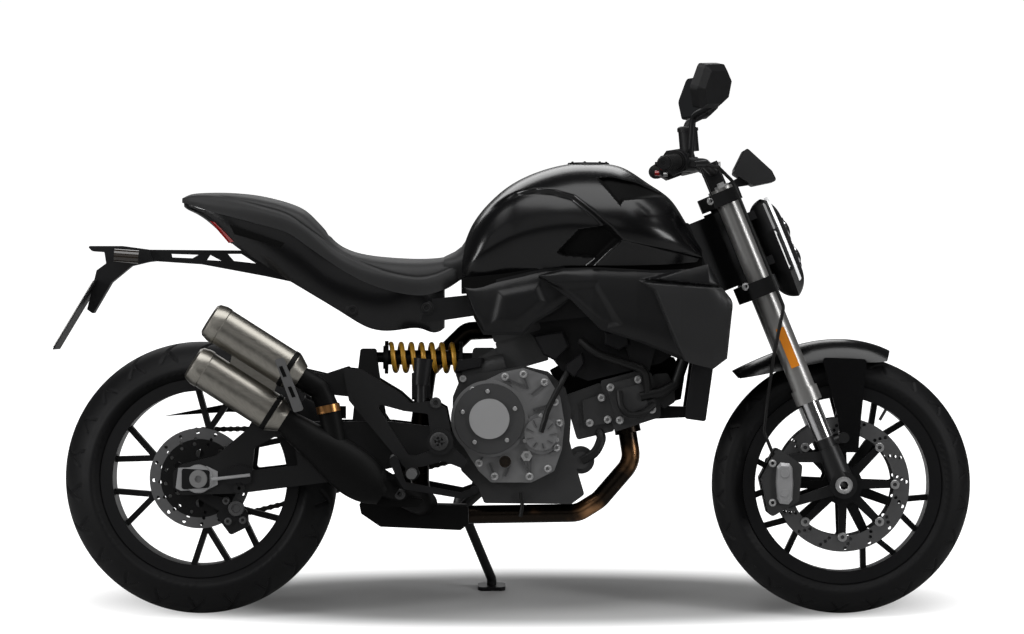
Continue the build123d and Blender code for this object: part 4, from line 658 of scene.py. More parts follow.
TANK = [(602, 753, 842, 84, 92, 62), (625, 757, 896, 100, 118, 82), (660, 764, 942, 112, 138, 102),
        (710, 776, 985, 122, 156, 118), (770, 790, 1015, 138, 174, 128), (840, 799, 1034, 158, 194, 136),
        (910, 800, 1037, 178, 208, 140), (970, 800, 1027, 186, 212, 142), (1030, 801, 990, 182, 204, 138),
        (1080, 803, 954, 166, 182, 126), (1115, 806, 902, 146, 156, 112), (1150, 810, 842, 122, 126, 96)]
KNEE = mm((700, 962), (726, 973), (770, 979), (814, 975), (859, 962), (903, 927), (947, 887), (967, 860),
          (912, 805), (880, 780), (600, 730), (590, 900), (640, 930))
POCKET = mm((819, 831), (867, 882), (929, 891), (967, 860), (914, 816), (832, 823))
SCOOP = mm((909, 1001), (940, 1003), (1000, 990), (1070, 962), (1060, 958), (969, 948), (962, 935),
           (930, 975))
BAND = mm((912, 805), (967, 860), (1080, 835), (1163, 816), (1163, 795), (912, 795))


def press_tank(x, y, z, low):
    """The tank's side moved in at the knee hollow, its pocket, the front scoop and the lower band."""
    if abs(y) < 0.05:
        return x, y, z
    inward = 0.015 * ease(depth_in(KNEE, x, z) / 0.016) * ease((x - 0.63) / 0.09)
    inward += 0.011 * ease(depth_in(POCKET, x, z) / 0.005)
    inward += 0.016 * ease(depth_in(SCOOP, x, z) / 0.006)
    inward += 0.005 * ease(depth_in(BAND, x, z) / 0.005)
    return x, y - math.copysign(inward, y), z


fine = 2
rings = hull(TANK, 10 * fine, 22 * fine, press_tank)
tank = Kit().skin(rings)
for i, face in enumerate(tank.faces[:-2]):
    x, y, z = (sum(tank.points[k][axis] for k in face) / 4 for axis in range(3))
    if abs(y) > 0.05 and max(depth_in(POCKET, x, z), depth_in(SCOOP, x, z)) > -0.0008:
        tank.finishes[i] = 1
tank.make("tank_skin", (GLOSS_BLACK, MATTE_BLACK_AND_PAINTED_SHADE), "chassis", "fuel_tank", ("fuel_tank",), 50)

# %% [markdown]
# ## The filler cap
# A flush cap closes the tank on top: a ring held by small screws and a round lid.

# %% The filler cap
CAP_SCREWS, CAP_TRACK = 7, 0.041
cap_place = Matrix.Translation((0.892, 0, 1.0345))
cap = Kit().turned([(0.0, 0.0045), (0.03, 0.0045), (0.031, 0.003), (0.033, 0.003), (0.034, 0.0045),
                    (0.047, 0.0035), (0.05, -0.004)], cap_place, 40)
for i in range(CAP_SCREWS):
    turn = math.tau * i / CAP_SCREWS
    spot = Matrix.Translation((CAP_TRACK * math.cos(turn), CAP_TRACK * math.sin(turn), 0))
    cap.turned([(0.0, 0.0065), (0.0026, 0.006), (0.003, 0.002)], cap_place @ spot, 10)
cap.make("filler_cap", ALLOY_BLACK, "chassis", "fuel_tank")

# %% [markdown]
# ## The seat
# The seat is foam on a base under stitched vinyl, with a low rider's part and a raised passenger's part.
# The cover's side strips are sewn on, so a seam groove runs along both sides, and another crosses the step.

# %% The padded seat and its seams
SEAT = [(-42, 945, 957, 52, 54, 46), (-20, 939, 966, 70, 73, 62), (20, 926, 969, 88, 92, 76),
        (80, 910, 968, 106, 110, 90), (140, 894, 961, 116, 120, 98), (200, 876, 946, 120, 124, 100),
        (240, 850, 928, 120, 124, 100), (275, 825, 895, 118, 122, 98), (310, 801, 856, 118, 122, 98),
        (345, 780, 836, 122, 126, 102), (390, 758, 825, 128, 132, 106), (450, 739, 819, 130, 134, 106),
        (510, 732, 817, 118, 122, 96), (560, 746, 821, 98, 102, 80), (599, 770, 833, 76, 79, 62)]


def seam(x, y, z, low):
    """Seam grooves along the sides and across the step, with the foam a little full between them."""
    along = math.exp(-((z - low - 0.042) / 0.003) ** 2)
    step = math.exp(-((x - 0.292) / 0.0035) ** 2) * ease((0.085 - abs(y)) / 0.02)
    return x, y * (1 - 0.022 * along), z - 0.003 * step


seat = Kit().skin(hull(SEAT, 8 * fine, 16 * fine, seam))
seat = seat.make("seat_cover", SEAT_VINYL, "chassis", "seat", ("seat",), 50)

# %% [markdown]
# ## Panels beside the tank
# The side panel beside the tank is moulded plastic in several layers: a fin that runs forward, a shield in
# front of the radiator and a plain rear field. A skin between a top line and a bottom line, pushed out by
# layer outlines, makes the layers one closed piece on each side.

# %% The panels beside the tank and below it
def at(curve, x):
    """The height or width of a line of (x, value) points at x."""
    for (ax, av), (bx, bv) in zip(curve, curve[1:]):
        if x <= bx:
            return av + (bv - av) * (x - ax) / (bx - ax)
    return curve[-1][1]


def panel(top, bottom, outward, thick, columns, rows, layers):
    """A closed panel on both sides. layers are (outline, how far out, edge width)."""
    rings = []
    for i in range(columns + 1):
        x = top[0][0] + (top[-1][0] - top[0][0]) * i / columns
        high, low = at(top, x), at(bottom, x)
        outer, inner = [], []
        for j in range(rows + 1):
            share = j / rows
            z = low + (high - low) * share
            y = at(outward, x) - 0.016 * (2 * share - 1) ** 4
            y += sum(out * ease(depth_in(shape, x, z) / edge) for shape, out, edge in layers)
            outer.append((x, -y, z))
            inner.append((x, -at(outward, x) + thick, z))
        rings.append(outer + inner[::-1])
    return Kit().skin(rings).mirrored()


SIDE_TOP = mm((776, 778), (832, 794), (912, 796), (1040, 789), (1120, 792), (1163, 803), (1190, 755),
              (1215, 724), (1218, 716))
SIDE_BOTTOM = mm((776, 776), (850, 722), (918, 654), (1010, 624), (1126, 576), (1174, 564), (1206, 588),
                 (1218, 700))
SIDE_OUT = mm((776, 150), (900, 178), (1000, 186), (1100, 188), (1218, 178))
FRONT_SHIELD = mm((1000, 766), (1040, 741), (1093, 609), (1126, 540), (1280, 540), (1280, 740), (1190, 752))
FIN = mm((1000, 768), (1040, 775), (1163, 815), (1196, 748), (1100, 757))
REAR_FIELD = mm((770, 760), (912, 768), (973, 662), (900, 640), (760, 770))
sides = panel(SIDE_TOP, SIDE_BOTTOM, SIDE_OUT, 0.012, 110 * fine, 40 * fine,
              ((FRONT_SHIELD, 0.009, 0.006), (FIN, 0.012, 0.008), (REAR_FIELD, -0.008, 0.02)))
for i, face in enumerate(sides.faces):
    x, z = (sum(sides.points[k][axis] for k in face) / len(face) for axis in (0, 2))
    sides.finishes[i] = int(depth_in(FRONT_SHIELD, x, z) > 0.002)
sides.make("side_panel_skins", (PANEL_BLACK, PANEL_GREY), "chassis", "side_panels", ("side_panels",), 50)

COVER_TOP = mm((607, 752), (761, 787), (835, 800), (870, 742))
COVER_BOTTOM = mm((607, 748), (629, 680), (650, 642), (739, 640), (770, 671), (815, 697), (870, 738))
COVER_OUT = mm((607, 128), (700, 137), (870, 137))
COVER_FIELD = mm((660, 660), (730, 655), (800, 715), (780, 765), (680, 745))
covers = panel(COVER_TOP, COVER_BOTTOM, COVER_OUT, 0.01, 60 * fine, 30 * fine,
               ((COVER_FIELD, 0.006, 0.022),))
covers.make("airbox_cover_skins", PANEL_BLACK, "chassis", "airbox_covers", ("airbox_covers",), 50)

# %% [markdown]
# ## Closing the joins
# Where the seat meets the tank and where the tank meets the panels, the real machine has rubber lips, so no
# daylight shows through. A padded tongue runs from the seat up the tank's back, and a near-black strip under
# the tank's edge paints the shade in the gap there.

# %% Seat tongue and tank strip
tongue_rings = []
for x, low, high, half in mm((560, 786, 822, 92), (585, 772, 834, 84), (600, 768, 845, 80),
                             (612, 770, 862, 76), (622, 790, 874, 66)):
    bulge = low + 0.6 * (high - low)
    right_edge = [(-half, low), (-half * 1.02, bulge), (-half * 0.6, high - 0.004)]
    curve = flow([*right_edge, (0, high), *[(-y, z) for y, z in reversed(right_edge)]], 6)
    tongue_rings.append([(x, y, z) for y, z in curve])
Kit().skin(tongue_rings).make("seat_tongue", SEAT_VINYL, "chassis", "seat", sharp=50)
# The strip is painted shade: a near-black sheet that fills the dark gap under the tank's edge.
strip = Kit()
for side in (RIGHT, LEFT):
    strip.plate(mm((600, 736), (640, 740), (760, 770), (900, 780), (1060, 778), (1150, 788), (1150, 822),
                   (1040, 815), (880, 812), (700, 782), (600, 772)), *sorted((side * 0.09, side * 0.125)))
strip.make("tank_gap_painted_shade", MATTE_BLACK_AND_PAINTED_SHADE, "chassis", "fuel_tank")

# %% [markdown]
# ## The engine's right side
# What makes an engine look real is its fastenings. Flanged screws go round the clutch cover, in its lid and
# on the forward cylinder, whose own ruler is tipped with it. Each is one turned profile, set on the CAD
# casting's face.

# %% Screws on the engine's right
COVER_FACE = -0.116
LID_SCREWS, LID_TRACK = 5, 0.063
LID_SCREW = [(0, 0.004), (0.004, 0.004), (0.005, 0.003), (0.005, -0.002)]
SCREW = [(0.0, 0.0005), (0.0036, 0.0005), (0.004, 0.0072), (0.006, 0.0075), (0.0068, 0.0068),
         (0.0068, 0.0015), (0.0088, 0.001), (0.0092, -0.002)]
CYLINDER = Matrix.Translation((0.852, 0, 0.455)) @ Matrix.Rotation(math.radians(-16), 4, "Y")
COVER_SCREWS = mm((606, 480), (626, 516), (700, 546), (742, 552), (790, 534), (814, 488), (824, 440),
                  (818, 384), (798, 336), (756, 318), (676, 318), (640, 348), (604, 410))
screws = Kit()
for x, z in COVER_SCREWS:
    screws.turned(SCREW, facing(x, COVER_FACE, z, RIGHT), 18)
for x, y, z in ((0.104, -0.094, -0.039), (0.104, -0.094, 0.039), (0.182, -0.094, -0.036),
                (0.17, -0.094, 0.039), (0.036, -0.084, -0.026), (0.078, -0.084, -0.03),
                (0.078, -0.084, 0.022)):
    screws.turned(SCREW, CYLINDER @ facing(x, y, z, RIGHT), 18)
for i in range(LID_SCREWS):
    turn = math.tau * (i + 0.3) / LID_SCREWS
    x, z = CLUTCH_CENTRE[0] + LID_TRACK * math.cos(turn), CLUTCH_CENTRE[1] + LID_TRACK * math.sin(turn)
    screws.turned(LID_SCREW, facing(x, -0.136, z, RIGHT), 16)
for x, z in mm((782, 457), (745, 400), (818, 402)):
    screws.turned(LID_SCREW, facing(x, -0.12, z, RIGHT), 16)
screws.make("engine_screws", BARE_STEEL, "chassis", "clutch_cover")

# %% [markdown]
# ## Ribs, plug and level window
# Cast ribs stiffen the cover between its screws, and more of them stand like a fan round the pump's hub. A
# six-sided plug closes the oil filler, and a round window below shows the oil's level.

# %% Ribs, plug and level window
PUMP_HUB, PUMP_RIBS = (0.782, 0.415), 9
ribs = Kit()
for (ax, az), (bx, bz) in (mm((752, 520), (700, 543)), mm((752, 520), (742, 549)),
                           mm((760, 505), (790, 531)), mm((764, 470), (812, 486)),
                           mm((650, 365), (641, 350)), mm((712, 348), (700, 318)),
                           mm((759, 367), (757, 320)), mm((664, 348), (676, 321)),
                           mm((720, 512), (700, 543)), mm((735, 360), (756, 321)),
                           mm((800, 372), (816, 382)), mm((826, 420), (824, 437))):
    ahead = Vector((bx - ax, bz - az)).normalized() * 0.0022
    ribs.plate([(ax - ahead.y, az + ahead.x), (bx - ahead.y, bz + ahead.x),
                (bx + ahead.y, bz - ahead.x), (ax + ahead.y, az - ahead.x)], -0.1165, -0.11)
for i in range(PUMP_RIBS):
    turn = math.tau * i / PUMP_RIBS
    x, z = PUMP_HUB[0] + 0.02 * math.cos(turn), PUMP_HUB[1] + 0.02 * math.sin(turn)
    far_x, far_z = x + 0.015 * math.cos(turn), z + 0.015 * math.sin(turn)
    ribs.plate([(x - 0.0016, z - 0.0016), (x + 0.0016, z - 0.0016), (far_x + 0.0016, far_z + 0.0016),
                (far_x - 0.0016, far_z + 0.0016)], -0.1325, -0.129)
ribs.turned([(0.0, 0.003), (0.006, 0.003), (0.0065, 0.008), (0.0125, 0.008), (0.0135, 0.007),
             (0.0135, -0.001)], facing(0.749, -0.112, 0.365, RIGHT), 6, 1)
ribs.turned([(0.0, 0.0005), (0.0105, 0.0005), (0.011, 0.003), (0.0135, 0.003), (0.014, -0.001)],
            facing(0.7, -0.124, 0.352, RIGHT), 28, 2)
ribs.make("clutch_cover_fittings", (CAST_GREY, BARE_STEEL, SMOKED_LENS), "chassis", "clutch_cover")

# %% [markdown]
# ## Pipes and wiring boxes
# Short moulded pipes carry coolant and breather air between stubs on the engine, so each is a fixed, smooth
# rod. Between the cylinders sit boxes of the ignition and wiring, with a chamfered lid. A box is its
# outline, drawn in at the front.

# %% Pipes and wiring boxes
PIPES = (([(0.782, -0.127, 0.42), (0.79, -0.13, 0.445), (0.799, -0.126, 0.474), (0.827, -0.116, 0.529),
           (0.842, -0.098, 0.556)], 6, 0.0068),
         ([(0.961, -0.104, 0.512), (0.966, -0.112, 0.478), (0.984, -0.114, 0.46), (1.013, -0.112, 0.462),
           (1.041, -0.1, 0.483)], 6, 0.008),
         ([(0.872, -0.098, 0.63), (0.909, -0.112, 0.601), (0.975, -0.114, 0.577), (1.018, -0.11, 0.558),
           (1.026, -0.098, 0.511)], 6, 0.009),
         ([(0.735, -0.1, 0.281), (0.739, -0.1, 0.253), (0.735, -0.1, 0.225)], 5, 0.0045),
         ([(0.876, -0.086, 0.354), (0.905, -0.09, 0.372), (0.92, -0.082, 0.402), (0.916, -0.07, 0.42)], 6,
          0.011))
pipes = Kit()
for route, per, radius in PIPES:
    pipes.rod(flow(route, per), radius)
pipes.make("engine_pipes", HOSE_RUBBER, "chassis", "coolant_hoses")

boxes = Kit()
for outline, low, high in ((mm((928, 648), (980, 643), (985, 620), (961, 606), (928, 620)), -0.125, -0.082),
                           (mm((763, 640), (834, 650), (848, 615), (815, 582), (787, 596)), -0.104, -0.078),
                           (mm((839, 573), (876, 601), (881, 577), (858, 544), (839, 558)), -0.108, -0.078),
                           (mm((486, 554), (528, 568), (528, 493), (486, 493)), -0.1, -0.06),
                           (mm((585, 556), (646, 568), (650, 590), (592, 585)), -0.1, -0.07)):
    middle = sum((Vector(point) for point in outline), Vector((0, 0))) / len(outline)
    rings = [[middle.lerp(Vector(point), share) for point in outline] for share in (0.86, 1.0, 1.0)]
    boxes.skin([[(x, y, z) for x, z in ring] for ring, y in zip(rings, (low, low + 0.006, high))])
boxes.make("wiring_boxes", MOULDED_BLACK, "chassis", "airbox", sharp=20)

# %% [markdown]
# ## Behind the hoses
# Between the cylinders, the radiator and the air box stands a near-black plate, painted shade for the dark
# gap there. A starter motor fills the corner behind the upright cylinder. Both only show as the dark behind
# the hoses.

# %% The painted shade plate and the starter motor
# This plate is painted shade: a near-black sheet standing where the gap behind the hoses is only dark.
guard = Kit().plate(mm((803, 560), (857, 590), (919, 600), (1011, 590), (1042, 600), (1088, 590),
                       (1112, 545), (1104, 494), (1080, 486), (1074, 520), (1011, 524), (934, 520),
                       (850, 500), (826, 510)), -0.05, 0.05)
guard.make("painted_shade_plate", MATTE_BLACK_AND_PAINTED_SHADE, "chassis", "airbox")
starter = Kit().rod([(0.604, -0.06, 0.545), (0.7, -0.06, 0.575)], 0.028, 28)
starter.rod([(0.59, -0.06, 0.5405), (0.606, -0.06, 0.5455)], 0.02, 24)
starter.plate(mm((640, 530), (712, 540), (720, 600), (680, 612), (640, 590)), -0.07, 0.07)
starter.make("starter_motor", CAST_DARK, "chassis", "crankcase")

# %% [markdown]
# ## The engine's left side
# The left side has the same flanged screws, in a ring round the generator's cover. A screw is left out
# where the ring runs off the casting.

# %% Screws on the engine's left
GENERATOR, GENERATOR_SCREWS = (0.738, 0.436), 10
left_screws = Kit()
for i in range(GENERATOR_SCREWS):
    turn = math.tau * i / GENERATOR_SCREWS
    x, z = GENERATOR[0] + 0.079 * math.cos(turn), GENERATOR[1] + 0.079 * math.sin(turn)
    y = side_of("alternator_cover", x, z, LEFT)
    if y is not None:
        left_screws.turned(SCREW, facing(x, y, z, LEFT), 16)
left_screws.make("generator_screws", BARE_STEEL, "chassis", "alternator_cover")

# %% [markdown]
# ## The radiator's face
# The core leans with its frame. Two rays find the slope of its face, and rows of tubes and folded fins
# follow it.

# %% Radiator tubes and fins
fins = Kit()
low_hit, high_hit = (touch("radiator", (1.6, 0.03, z), (-1, 0, 0)) for z in (0.5, 0.62))
slope = (high_hit.x - low_hit.x) / 0.12
for k in range(26):
    z = 0.475 + 0.0068 * k
    x = low_hit.x + slope * (z - 0.5)
    fins.plate([(x - 0.002, z - 0.001), (x + 0.0022, z - 0.001), (x + 0.0022, z + 0.001),
                (x - 0.002, z + 0.001)], -0.118, 0.118)
for k in range(79):
    y = -0.117 + 0.003 * k
    bottom, top = low_hit.x + slope * -0.027, low_hit.x + slope * 0.147
    fins.plate([(bottom - 0.002, 0.473), (bottom + 0.0012, 0.473), (top + 0.0012, 0.647),
                (top - 0.002, 0.647)], y - 0.0004, y + 0.0004)
fins.make("radiator_fins", CAST_DARK, "chassis", "radiator")

# %% [markdown]
# ## Footrest hanger and pegs
# The cast hanger carries a round boss over the arm's pivot and several bright bolts. The folded passenger
# peg has slots in it, drawn as thin near-black skins on its face that paint the shade of the slots, and a
# bronze-coloured band closes the joint of the exhaust's link pipe. Each bolt feels for the first of several
# castings that lies under it.

# %% Hanger bosses, bolts and slots
PIVOT = (0.5495, 0.399)
BOLTS = ((*PIVOT, 0.021, 1), (0.542, 0.487, 0.013, 1), (0.4476, 0.36, 0.0105, 0),
         (0.603, 0.541, 0.0085, 0), (0.626, 0.297, 0.0105, 0), (0.461, 0.28, 0.0125, 1))
hanger = Kit()
for x, z, radius, finish_of in BOLTS:
    for name in ("footrest_brackets", "clutch_cover", "crankcase", "exhaust_link", "swingarm"):
        y = side_of(name, x, z)
        if y is not None:
            hanger.turned([(0.0, 0.001), (radius * 0.45, 0.001), (radius * 0.5, 0.005),
                           (radius * 0.85, 0.005), (radius, 0.003), (radius, -0.003)],
                          facing(x, y, z, RIGHT), 30, finish_of)
            break
for k in range(5):
    turn = math.tau * k / 5
    y = side_of("footrest_brackets", *PIVOT)
    star = [(PIVOT[0] + r * math.cos(turn + t), PIVOT[1] + r * math.sin(turn + t))
            for r, t in ((0.004, 0.6), (0.017, 0.12), (0.017, -0.12), (0.004, -0.6))]
    hanger.plate(star, y - 0.0062, y, 1)
hanger.make("hanger_bolts", (BARE_STEEL, CAST_DARK), "chassis", "footrest_brackets")
PEG_SLOTS = (mm((188, 570), (196, 572), (206, 548), (198, 546)),
             mm((208, 524), (216, 526), (226, 502), (218, 500)))
# The slots are painted shade: thin near-black skins laid on the peg, not cut into it.
slots = Kit()
for corners in PEG_SLOTS:
    if all(side_of("footpegs", x, z) for x, z in corners):
        patch(slots, "footpegs", corners, 0.0008, 4, 4)
if slots.faces:
    slots.make("peg_slot_painted_shade", MATTE_BLACK_AND_PAINTED_SHADE, "chassis", "footpegs")
clamp_turn = Vector((0.2, 0, -0.98)).to_track_quat("Z", "Y").to_matrix().to_4x4()
clamp_place = Matrix.Translation((0.298, -0.19, 0.474)) @ clamp_turn
CLAMP_BAND = [(0.0252, -0.009), (0.0275, -0.0085), (0.0275, 0.0085), (0.0252, 0.009)]
clamp = Kit().turned(CLAMP_BAND, clamp_place, 40)
clamp.make("exhaust_clamp", BRONZE, "chassis", "exhaust_link")

# %% [markdown]
# ## The exhaust's ends
# Each silencer is a brushed sleeve with a band at the front and a black slotted cap at the back. The caps
# are turned rings with a deep hole, and thin bars across it.

# %% Silencer caps and bands
SILENCER_RISE, SILENCER_Y, SILENCER_LENGTH = math.radians(32.5), -0.19, 0.212
BACK = Vector((-math.cos(SILENCER_RISE), 0, math.sin(SILENCER_RISE)))
along_back = BACK.to_track_quat("Z", "Y").to_matrix().to_4x4()
caps, bands = Kit(), Kit()
for front in mm((176, 462), (214, 560)):
    place = Matrix.Translation((front[0], SILENCER_Y, front[1])) @ along_back
    end = place @ Matrix.Translation((0, 0, SILENCER_LENGTH))
    caps.turned([(0.0, -0.02), (0.027, -0.02), (0.03, 0.006), (0.034, 0.009), (0.0405, 0.004),
                 (0.0452, -0.012), (0.0456, -0.024), (0.0442, -0.026)], end, 48)
    for offset in (-0.016, -0.0055, 0.0055, 0.016):
        half = math.sqrt(0.028 ** 2 - offset ** 2)
        caps.plate([(-half, -0.008), (half, -0.008), (half, 0.002), (-half, 0.002)], offset - 0.0018,
                   offset + 0.0018, 1, end)
    bands.turned([(0.0441, 0.186), (0.0447, 0.187), (0.0447, 0.19), (0.0441, 0.191)], place, 48)
    bands.turned([(0.0441, 0.002), (0.0452, 0.003), (0.0455, 0.008), (0.0452, 0.013), (0.0441, 0.014)],
                 place, 48)
caps.make("silencer_caps", (MUFFLER_METAL, EXHAUST_BLACK), "chassis", "mufflers")
bands.make("silencer_bands", EXHAUST_BLACK, "chassis", "mufflers")

# %% [markdown]
# ## The chain
# A roller chain is side plates on pins. The line round both sprockets is cut into pitches, and each pitch
# gets a pair of waisted plates, by turns inside and outside, with a roller at each joint.

# %% Chain links round both sprockets
BIG, SMALL = (Vector((0.0, REAR_R)), 0.108), (Vector((0.61, 0.395)), 0.038)
CHAIN_Y, CHAIN_PITCH = 0.108, 0.015875
between = SMALL[0] - BIG[0]
heading = math.atan2(between.y, between.x)
open_angle = math.acos((BIG[1] - SMALL[1]) / between.length)
line = []
for centre, radius, start, sweep in ((*BIG, heading + open_angle, math.tau - 2 * open_angle),
                                     (*SMALL, heading - open_angle, 2 * open_angle)):
    for k in range(121):
        turn = start + sweep * k / 120
        line.append(centre + radius * Vector((math.cos(turn), math.sin(turn))))
line.append(line[0])
reach = [0.0]
for a, b in zip(line, line[1:]):
    reach.append(reach[-1] + (b - a).length)
count = 2 * round(reach[-1] / CHAIN_PITCH / 2)
joints = []
for k in range(count):
    want = reach[-1] * k / count
    step = next(i for i in range(len(line) - 1) if reach[i + 1] >= want)
    joints.append(line[step].lerp(line[step + 1], (want - reach[step]) / (reach[step + 1] - reach[step])))
links = Kit()
for k, here in enumerate(joints):
    there = joints[(k + 1) % count]
    ahead = (there - here).normalized()
    place = Matrix(((ahead.x, 0, -ahead.y, here.x), (0, 1, 0, CHAIN_Y),
                    (ahead.y, 0, ahead.x, here.y), (0, 0, 0, 1)))
    across = place @ Matrix.Rotation(math.pi / 2, 4, "X")
    pitch = (there - here).length
    half = [(pitch / 2, 0.0046), (pitch + 0.002, 0.0064), (pitch + 0.0062, 0.0028),
            (pitch + 0.0062, -0.0028), (pitch + 0.002, -0.0064), (pitch / 2, -0.0046)]
    outline = half + [(pitch - x, -z) for x, z in half[1:5]]
    near, far = (0.0078, 0.0098) if k % 2 else (0.0056, 0.0076)
    links.plate(outline, near, far, 0, place)
    links.plate(outline, -far, -near, 0, place)
    links.turned([(0.005, -0.0056), (0.005, 0.0056)], across, 10)
    links.turned([(0.0, -0.0109), (0.0025, -0.0106), (0.0027, 0.0106), (0.0, 0.0109)], across, 8)
links.make("chain_links", CHAIN_STEEL, "chassis", "chain", ("chain",))

# %% [markdown]
# ## The rear axle and brake
# The spindle's nut sits in a bright adjuster block at the arm's end. The caliper hangs under the arm with
# its round piston cover and its screws.

# %% Adjuster block and rear caliper fittings
axle_kit = Kit()
arm_y = side_of("swingarm", 0.06, REAR_R)
axle_kit.plate(mm((-52, 292), (-46, 338), (20, 342), (44, 330), (44, 300), (20, 288), (-40, 286)),
               arm_y - 0.0035, arm_y + 0.002)
axle_kit.turned([(0.021, 0.0), (0.021, 0.003), (0.031, 0.003), (0.033, 0.0)],
                facing(0, arm_y - 0.0035, REAR_R, RIGHT), 40)
axle_kit.rod([(0.03, arm_y - 0.006, 0.312), (0.118, arm_y - 0.006, 0.322)], 0.004)
axle_kit.make("axle_adjuster", CAST_SILVER, "chassis", "rear_axle")
adjuster_end = Kit()
adjuster_end.plate(mm((66, 338), (98, 346), (124, 336), (120, 304), (92, 296), (62, 304)), arm_y - 0.006,
                   arm_y + 0.002)
adjuster_end.make("adjuster_end", MOULDED_BLACK, "chassis", "swingarm")
caliper_y = side_of("rear_caliper", 0.085, 0.245)
if caliper_y is not None:
    rear_brake = Kit()
    rear_brake.turned([(0.0, 0.004), (0.01, 0.004), (0.011, 0.007), (0.017, 0.007), (0.019, 0.004),
                       (0.019, -0.004)], facing(0.085, caliper_y, 0.245, RIGHT), 28)
    for x, z in mm((62, 262), (66, 215), (100, 218)):
        y = side_of("rear_caliper", x, z)
        if y is not None:
            rear_brake.turned(SCREW, facing(x, y, z, RIGHT), 16)
    rear_brake.make("rear_brake_fittings", CAST_GREY, "chassis", "rear_caliper")

# %% [markdown]
# ## Headlamp and instruments
# A white light strip runs down each edge of the headlamp with two round projector lenses between, and the
# instrument pod has a dark screen. All of it is measured with the fork's ruler and rides on the steering.

# %% Lamp strips, projectors and screen
LAMP_LOW = 0.56
LAMP_EDGE = flow(mm((50, 126), (70, 100), (94, 40), (88, -50), (60, -96)), 8)
strips = Kit()
for side in (RIGHT, LEFT):
    rings = []
    for y, w in LAMP_EDGE:
        ring = [(0.086, 0.935), (0.0895, 0.925), (0.0925, 0.895), (0.091, 0.88), (0.0865, 0.905)]
        rings.append([FORK @ Vector((u, side * y * s, LAMP_LOW + w * s)) for u, s in ring])
    strips.skin(rings)
strips.make("lamp_strips", LAMP_WHITE, "steering", "headlight_lens")
projectors = Kit()
for w in (0.033, -0.033):
    place = FORK @ Matrix.Translation((0.1, 0, LAMP_LOW + w)) @ Matrix.Rotation(math.pi / 2, 4, "Y")
    projectors.turned([(0.0, 0.013), (0.01, 0.0118), (0.018, 0.0088), (0.0235, 0.004), (0.0235, -0.02)],
                      place, 32)
    projectors.turned([(0.0245, 0.003), (0.0245, 0.007), (0.029, 0.007), (0.03, -0.02)], place, 32, 1)
projectors.make("lamp_projectors", (SCREEN, CHROME), "steering", "headlight_lens")
DASH_LOW = 0.702
low, high = Vector((0.038, DASH_LOW + 0.054)), Vector((0.088, DASH_LOW + 0.098))
tilt = math.atan2(high.y - low.y, high.x - low.x)
middle = (low + high) / 2
screen_place = FORK @ Matrix.Translation((middle.x, 0, middle.y)) @ Matrix.Rotation(-tilt, 4, "Y")
screen = Kit().plate([(-0.027, -0.001), (0.026, -0.001), (0.024, 0.002), (-0.025, 0.002)], -0.074, 0.074, 0,
                     screen_place)
screen.make("dash_screen_glass", SCREEN, "steering", "dash")

# %% [markdown]
# ## Calipers, fork caps and the spindle's nut
# Each caliper carries a bright body with two piston covers and its mounting screws. The fork legs end in
# six-sided caps, and a ring nut holds the front spindle. The body is one outline, drawn in toward its face.

# %% Caliper bodies, fork caps and bolts
calipers, front_bolts = Kit(), Kit()
BODY = mm((1322, 268), (1328, 256), (1348, 254), (1357, 264), (1359, 300), (1357, 338), (1350, 348),
          (1330, 350), (1321, 340), (1319, 304))
for side in (RIGHT, LEFT):
    skin_y = abs(side_of("front_calipers", 1.338, 0.3, side))
    middle = sum((Vector(point) for point in BODY), Vector((0, 0))) / len(BODY)
    rings = [[middle.lerp(Vector(point), share) for point in BODY] for share in (1.0, 1.0, 0.84)]
    depths = (skin_y - 0.004, skin_y + 0.006, skin_y + 0.012)
    calipers.skin([[(x, side * y, z) for x, z in ring] for ring, y in zip(rings, depths)])
    for x, z in mm((1339, 280), (1339, 324)):
        calipers.turned([(0.0, 0.002), (0.009, 0.002), (0.0095, 0.0), (0.0115, 0.0), (0.0115, -0.003)],
                        facing(x, side * (skin_y + 0.0118), z, side), 24)
    for x, z in mm((1312, 258), (1312, 348)):
        front_bolts.turned(SCREW, facing(x, side * (skin_y - 0.001), z, side), 16)
calipers.make("caliper_bodies", CAST_SILVER, "steering", "front_calipers")
for side in (RIGHT, LEFT):
    place = FORK @ Matrix.Translation((0, side * 0.103, 0.735))
    front_bolts.turned([(0.0, 0.012), (0.008, 0.012), (0.009, 0.006), (0.0165, 0.006), (0.0175, -0.002)],
                       place, 6)
front_bolts.make("front_end_bolts", BARE_STEEL, "steering", "fork_yokes")
spindle_y = side_of("front_axle", WHEELBASE + 0.011, FRONT_R)
nut = Kit().turned([(0.0095, -0.002), (0.0095, 0.004), (0.012, 0.0055), (0.0185, 0.0055), (0.02, 0.003),
                    (0.02, -0.002)], facing(WHEELBASE, spindle_y, FRONT_R, RIGHT), 36)
nut.make("spindle_nut", BARE_STEEL, "steering", "front_axle")

# %% [markdown]
# ## Handlebar fittings
# The grips have raised rings, and a weight at each end of the bar damps its buzz. Inside the grip come the
# switch box with its buttons, of which the red one stops the engine, the lever's clamp and, at the yoke,
# the bar's own clamps. Most are placed along the line of the grip.

# %% Where the grips run
BAR = FORK @ Vector((-0.005, 0, 0.778))
REARWARD = Matrix.Rotation(-math.pi / 2, 4, "Y")


def grip_line(side):
    """The grip's outer end, its direction outward, and the turn that takes Z along it."""
    inner = BAR + Vector((-0.088, side * 0.285, 0.018))
    outer = BAR + Vector((-0.118, side * 0.415, 0.011))
    along = (outer - inner).normalized()
    return outer, along, along.to_track_quat("Z", "Y").to_matrix().to_4x4()


print("bar ends", [round(grip_line(side)[0].y, 3) for side in (RIGHT, LEFT)])

# %% [markdown]
# ## Switch boxes and clamps
# A moulded box round the bar holds the switches, and collars on either side close it. Bright screws pinch
# the lever's clamp, the bar's clamps and the yokes. The brake's fluid cup, on the right only, gets its lid.

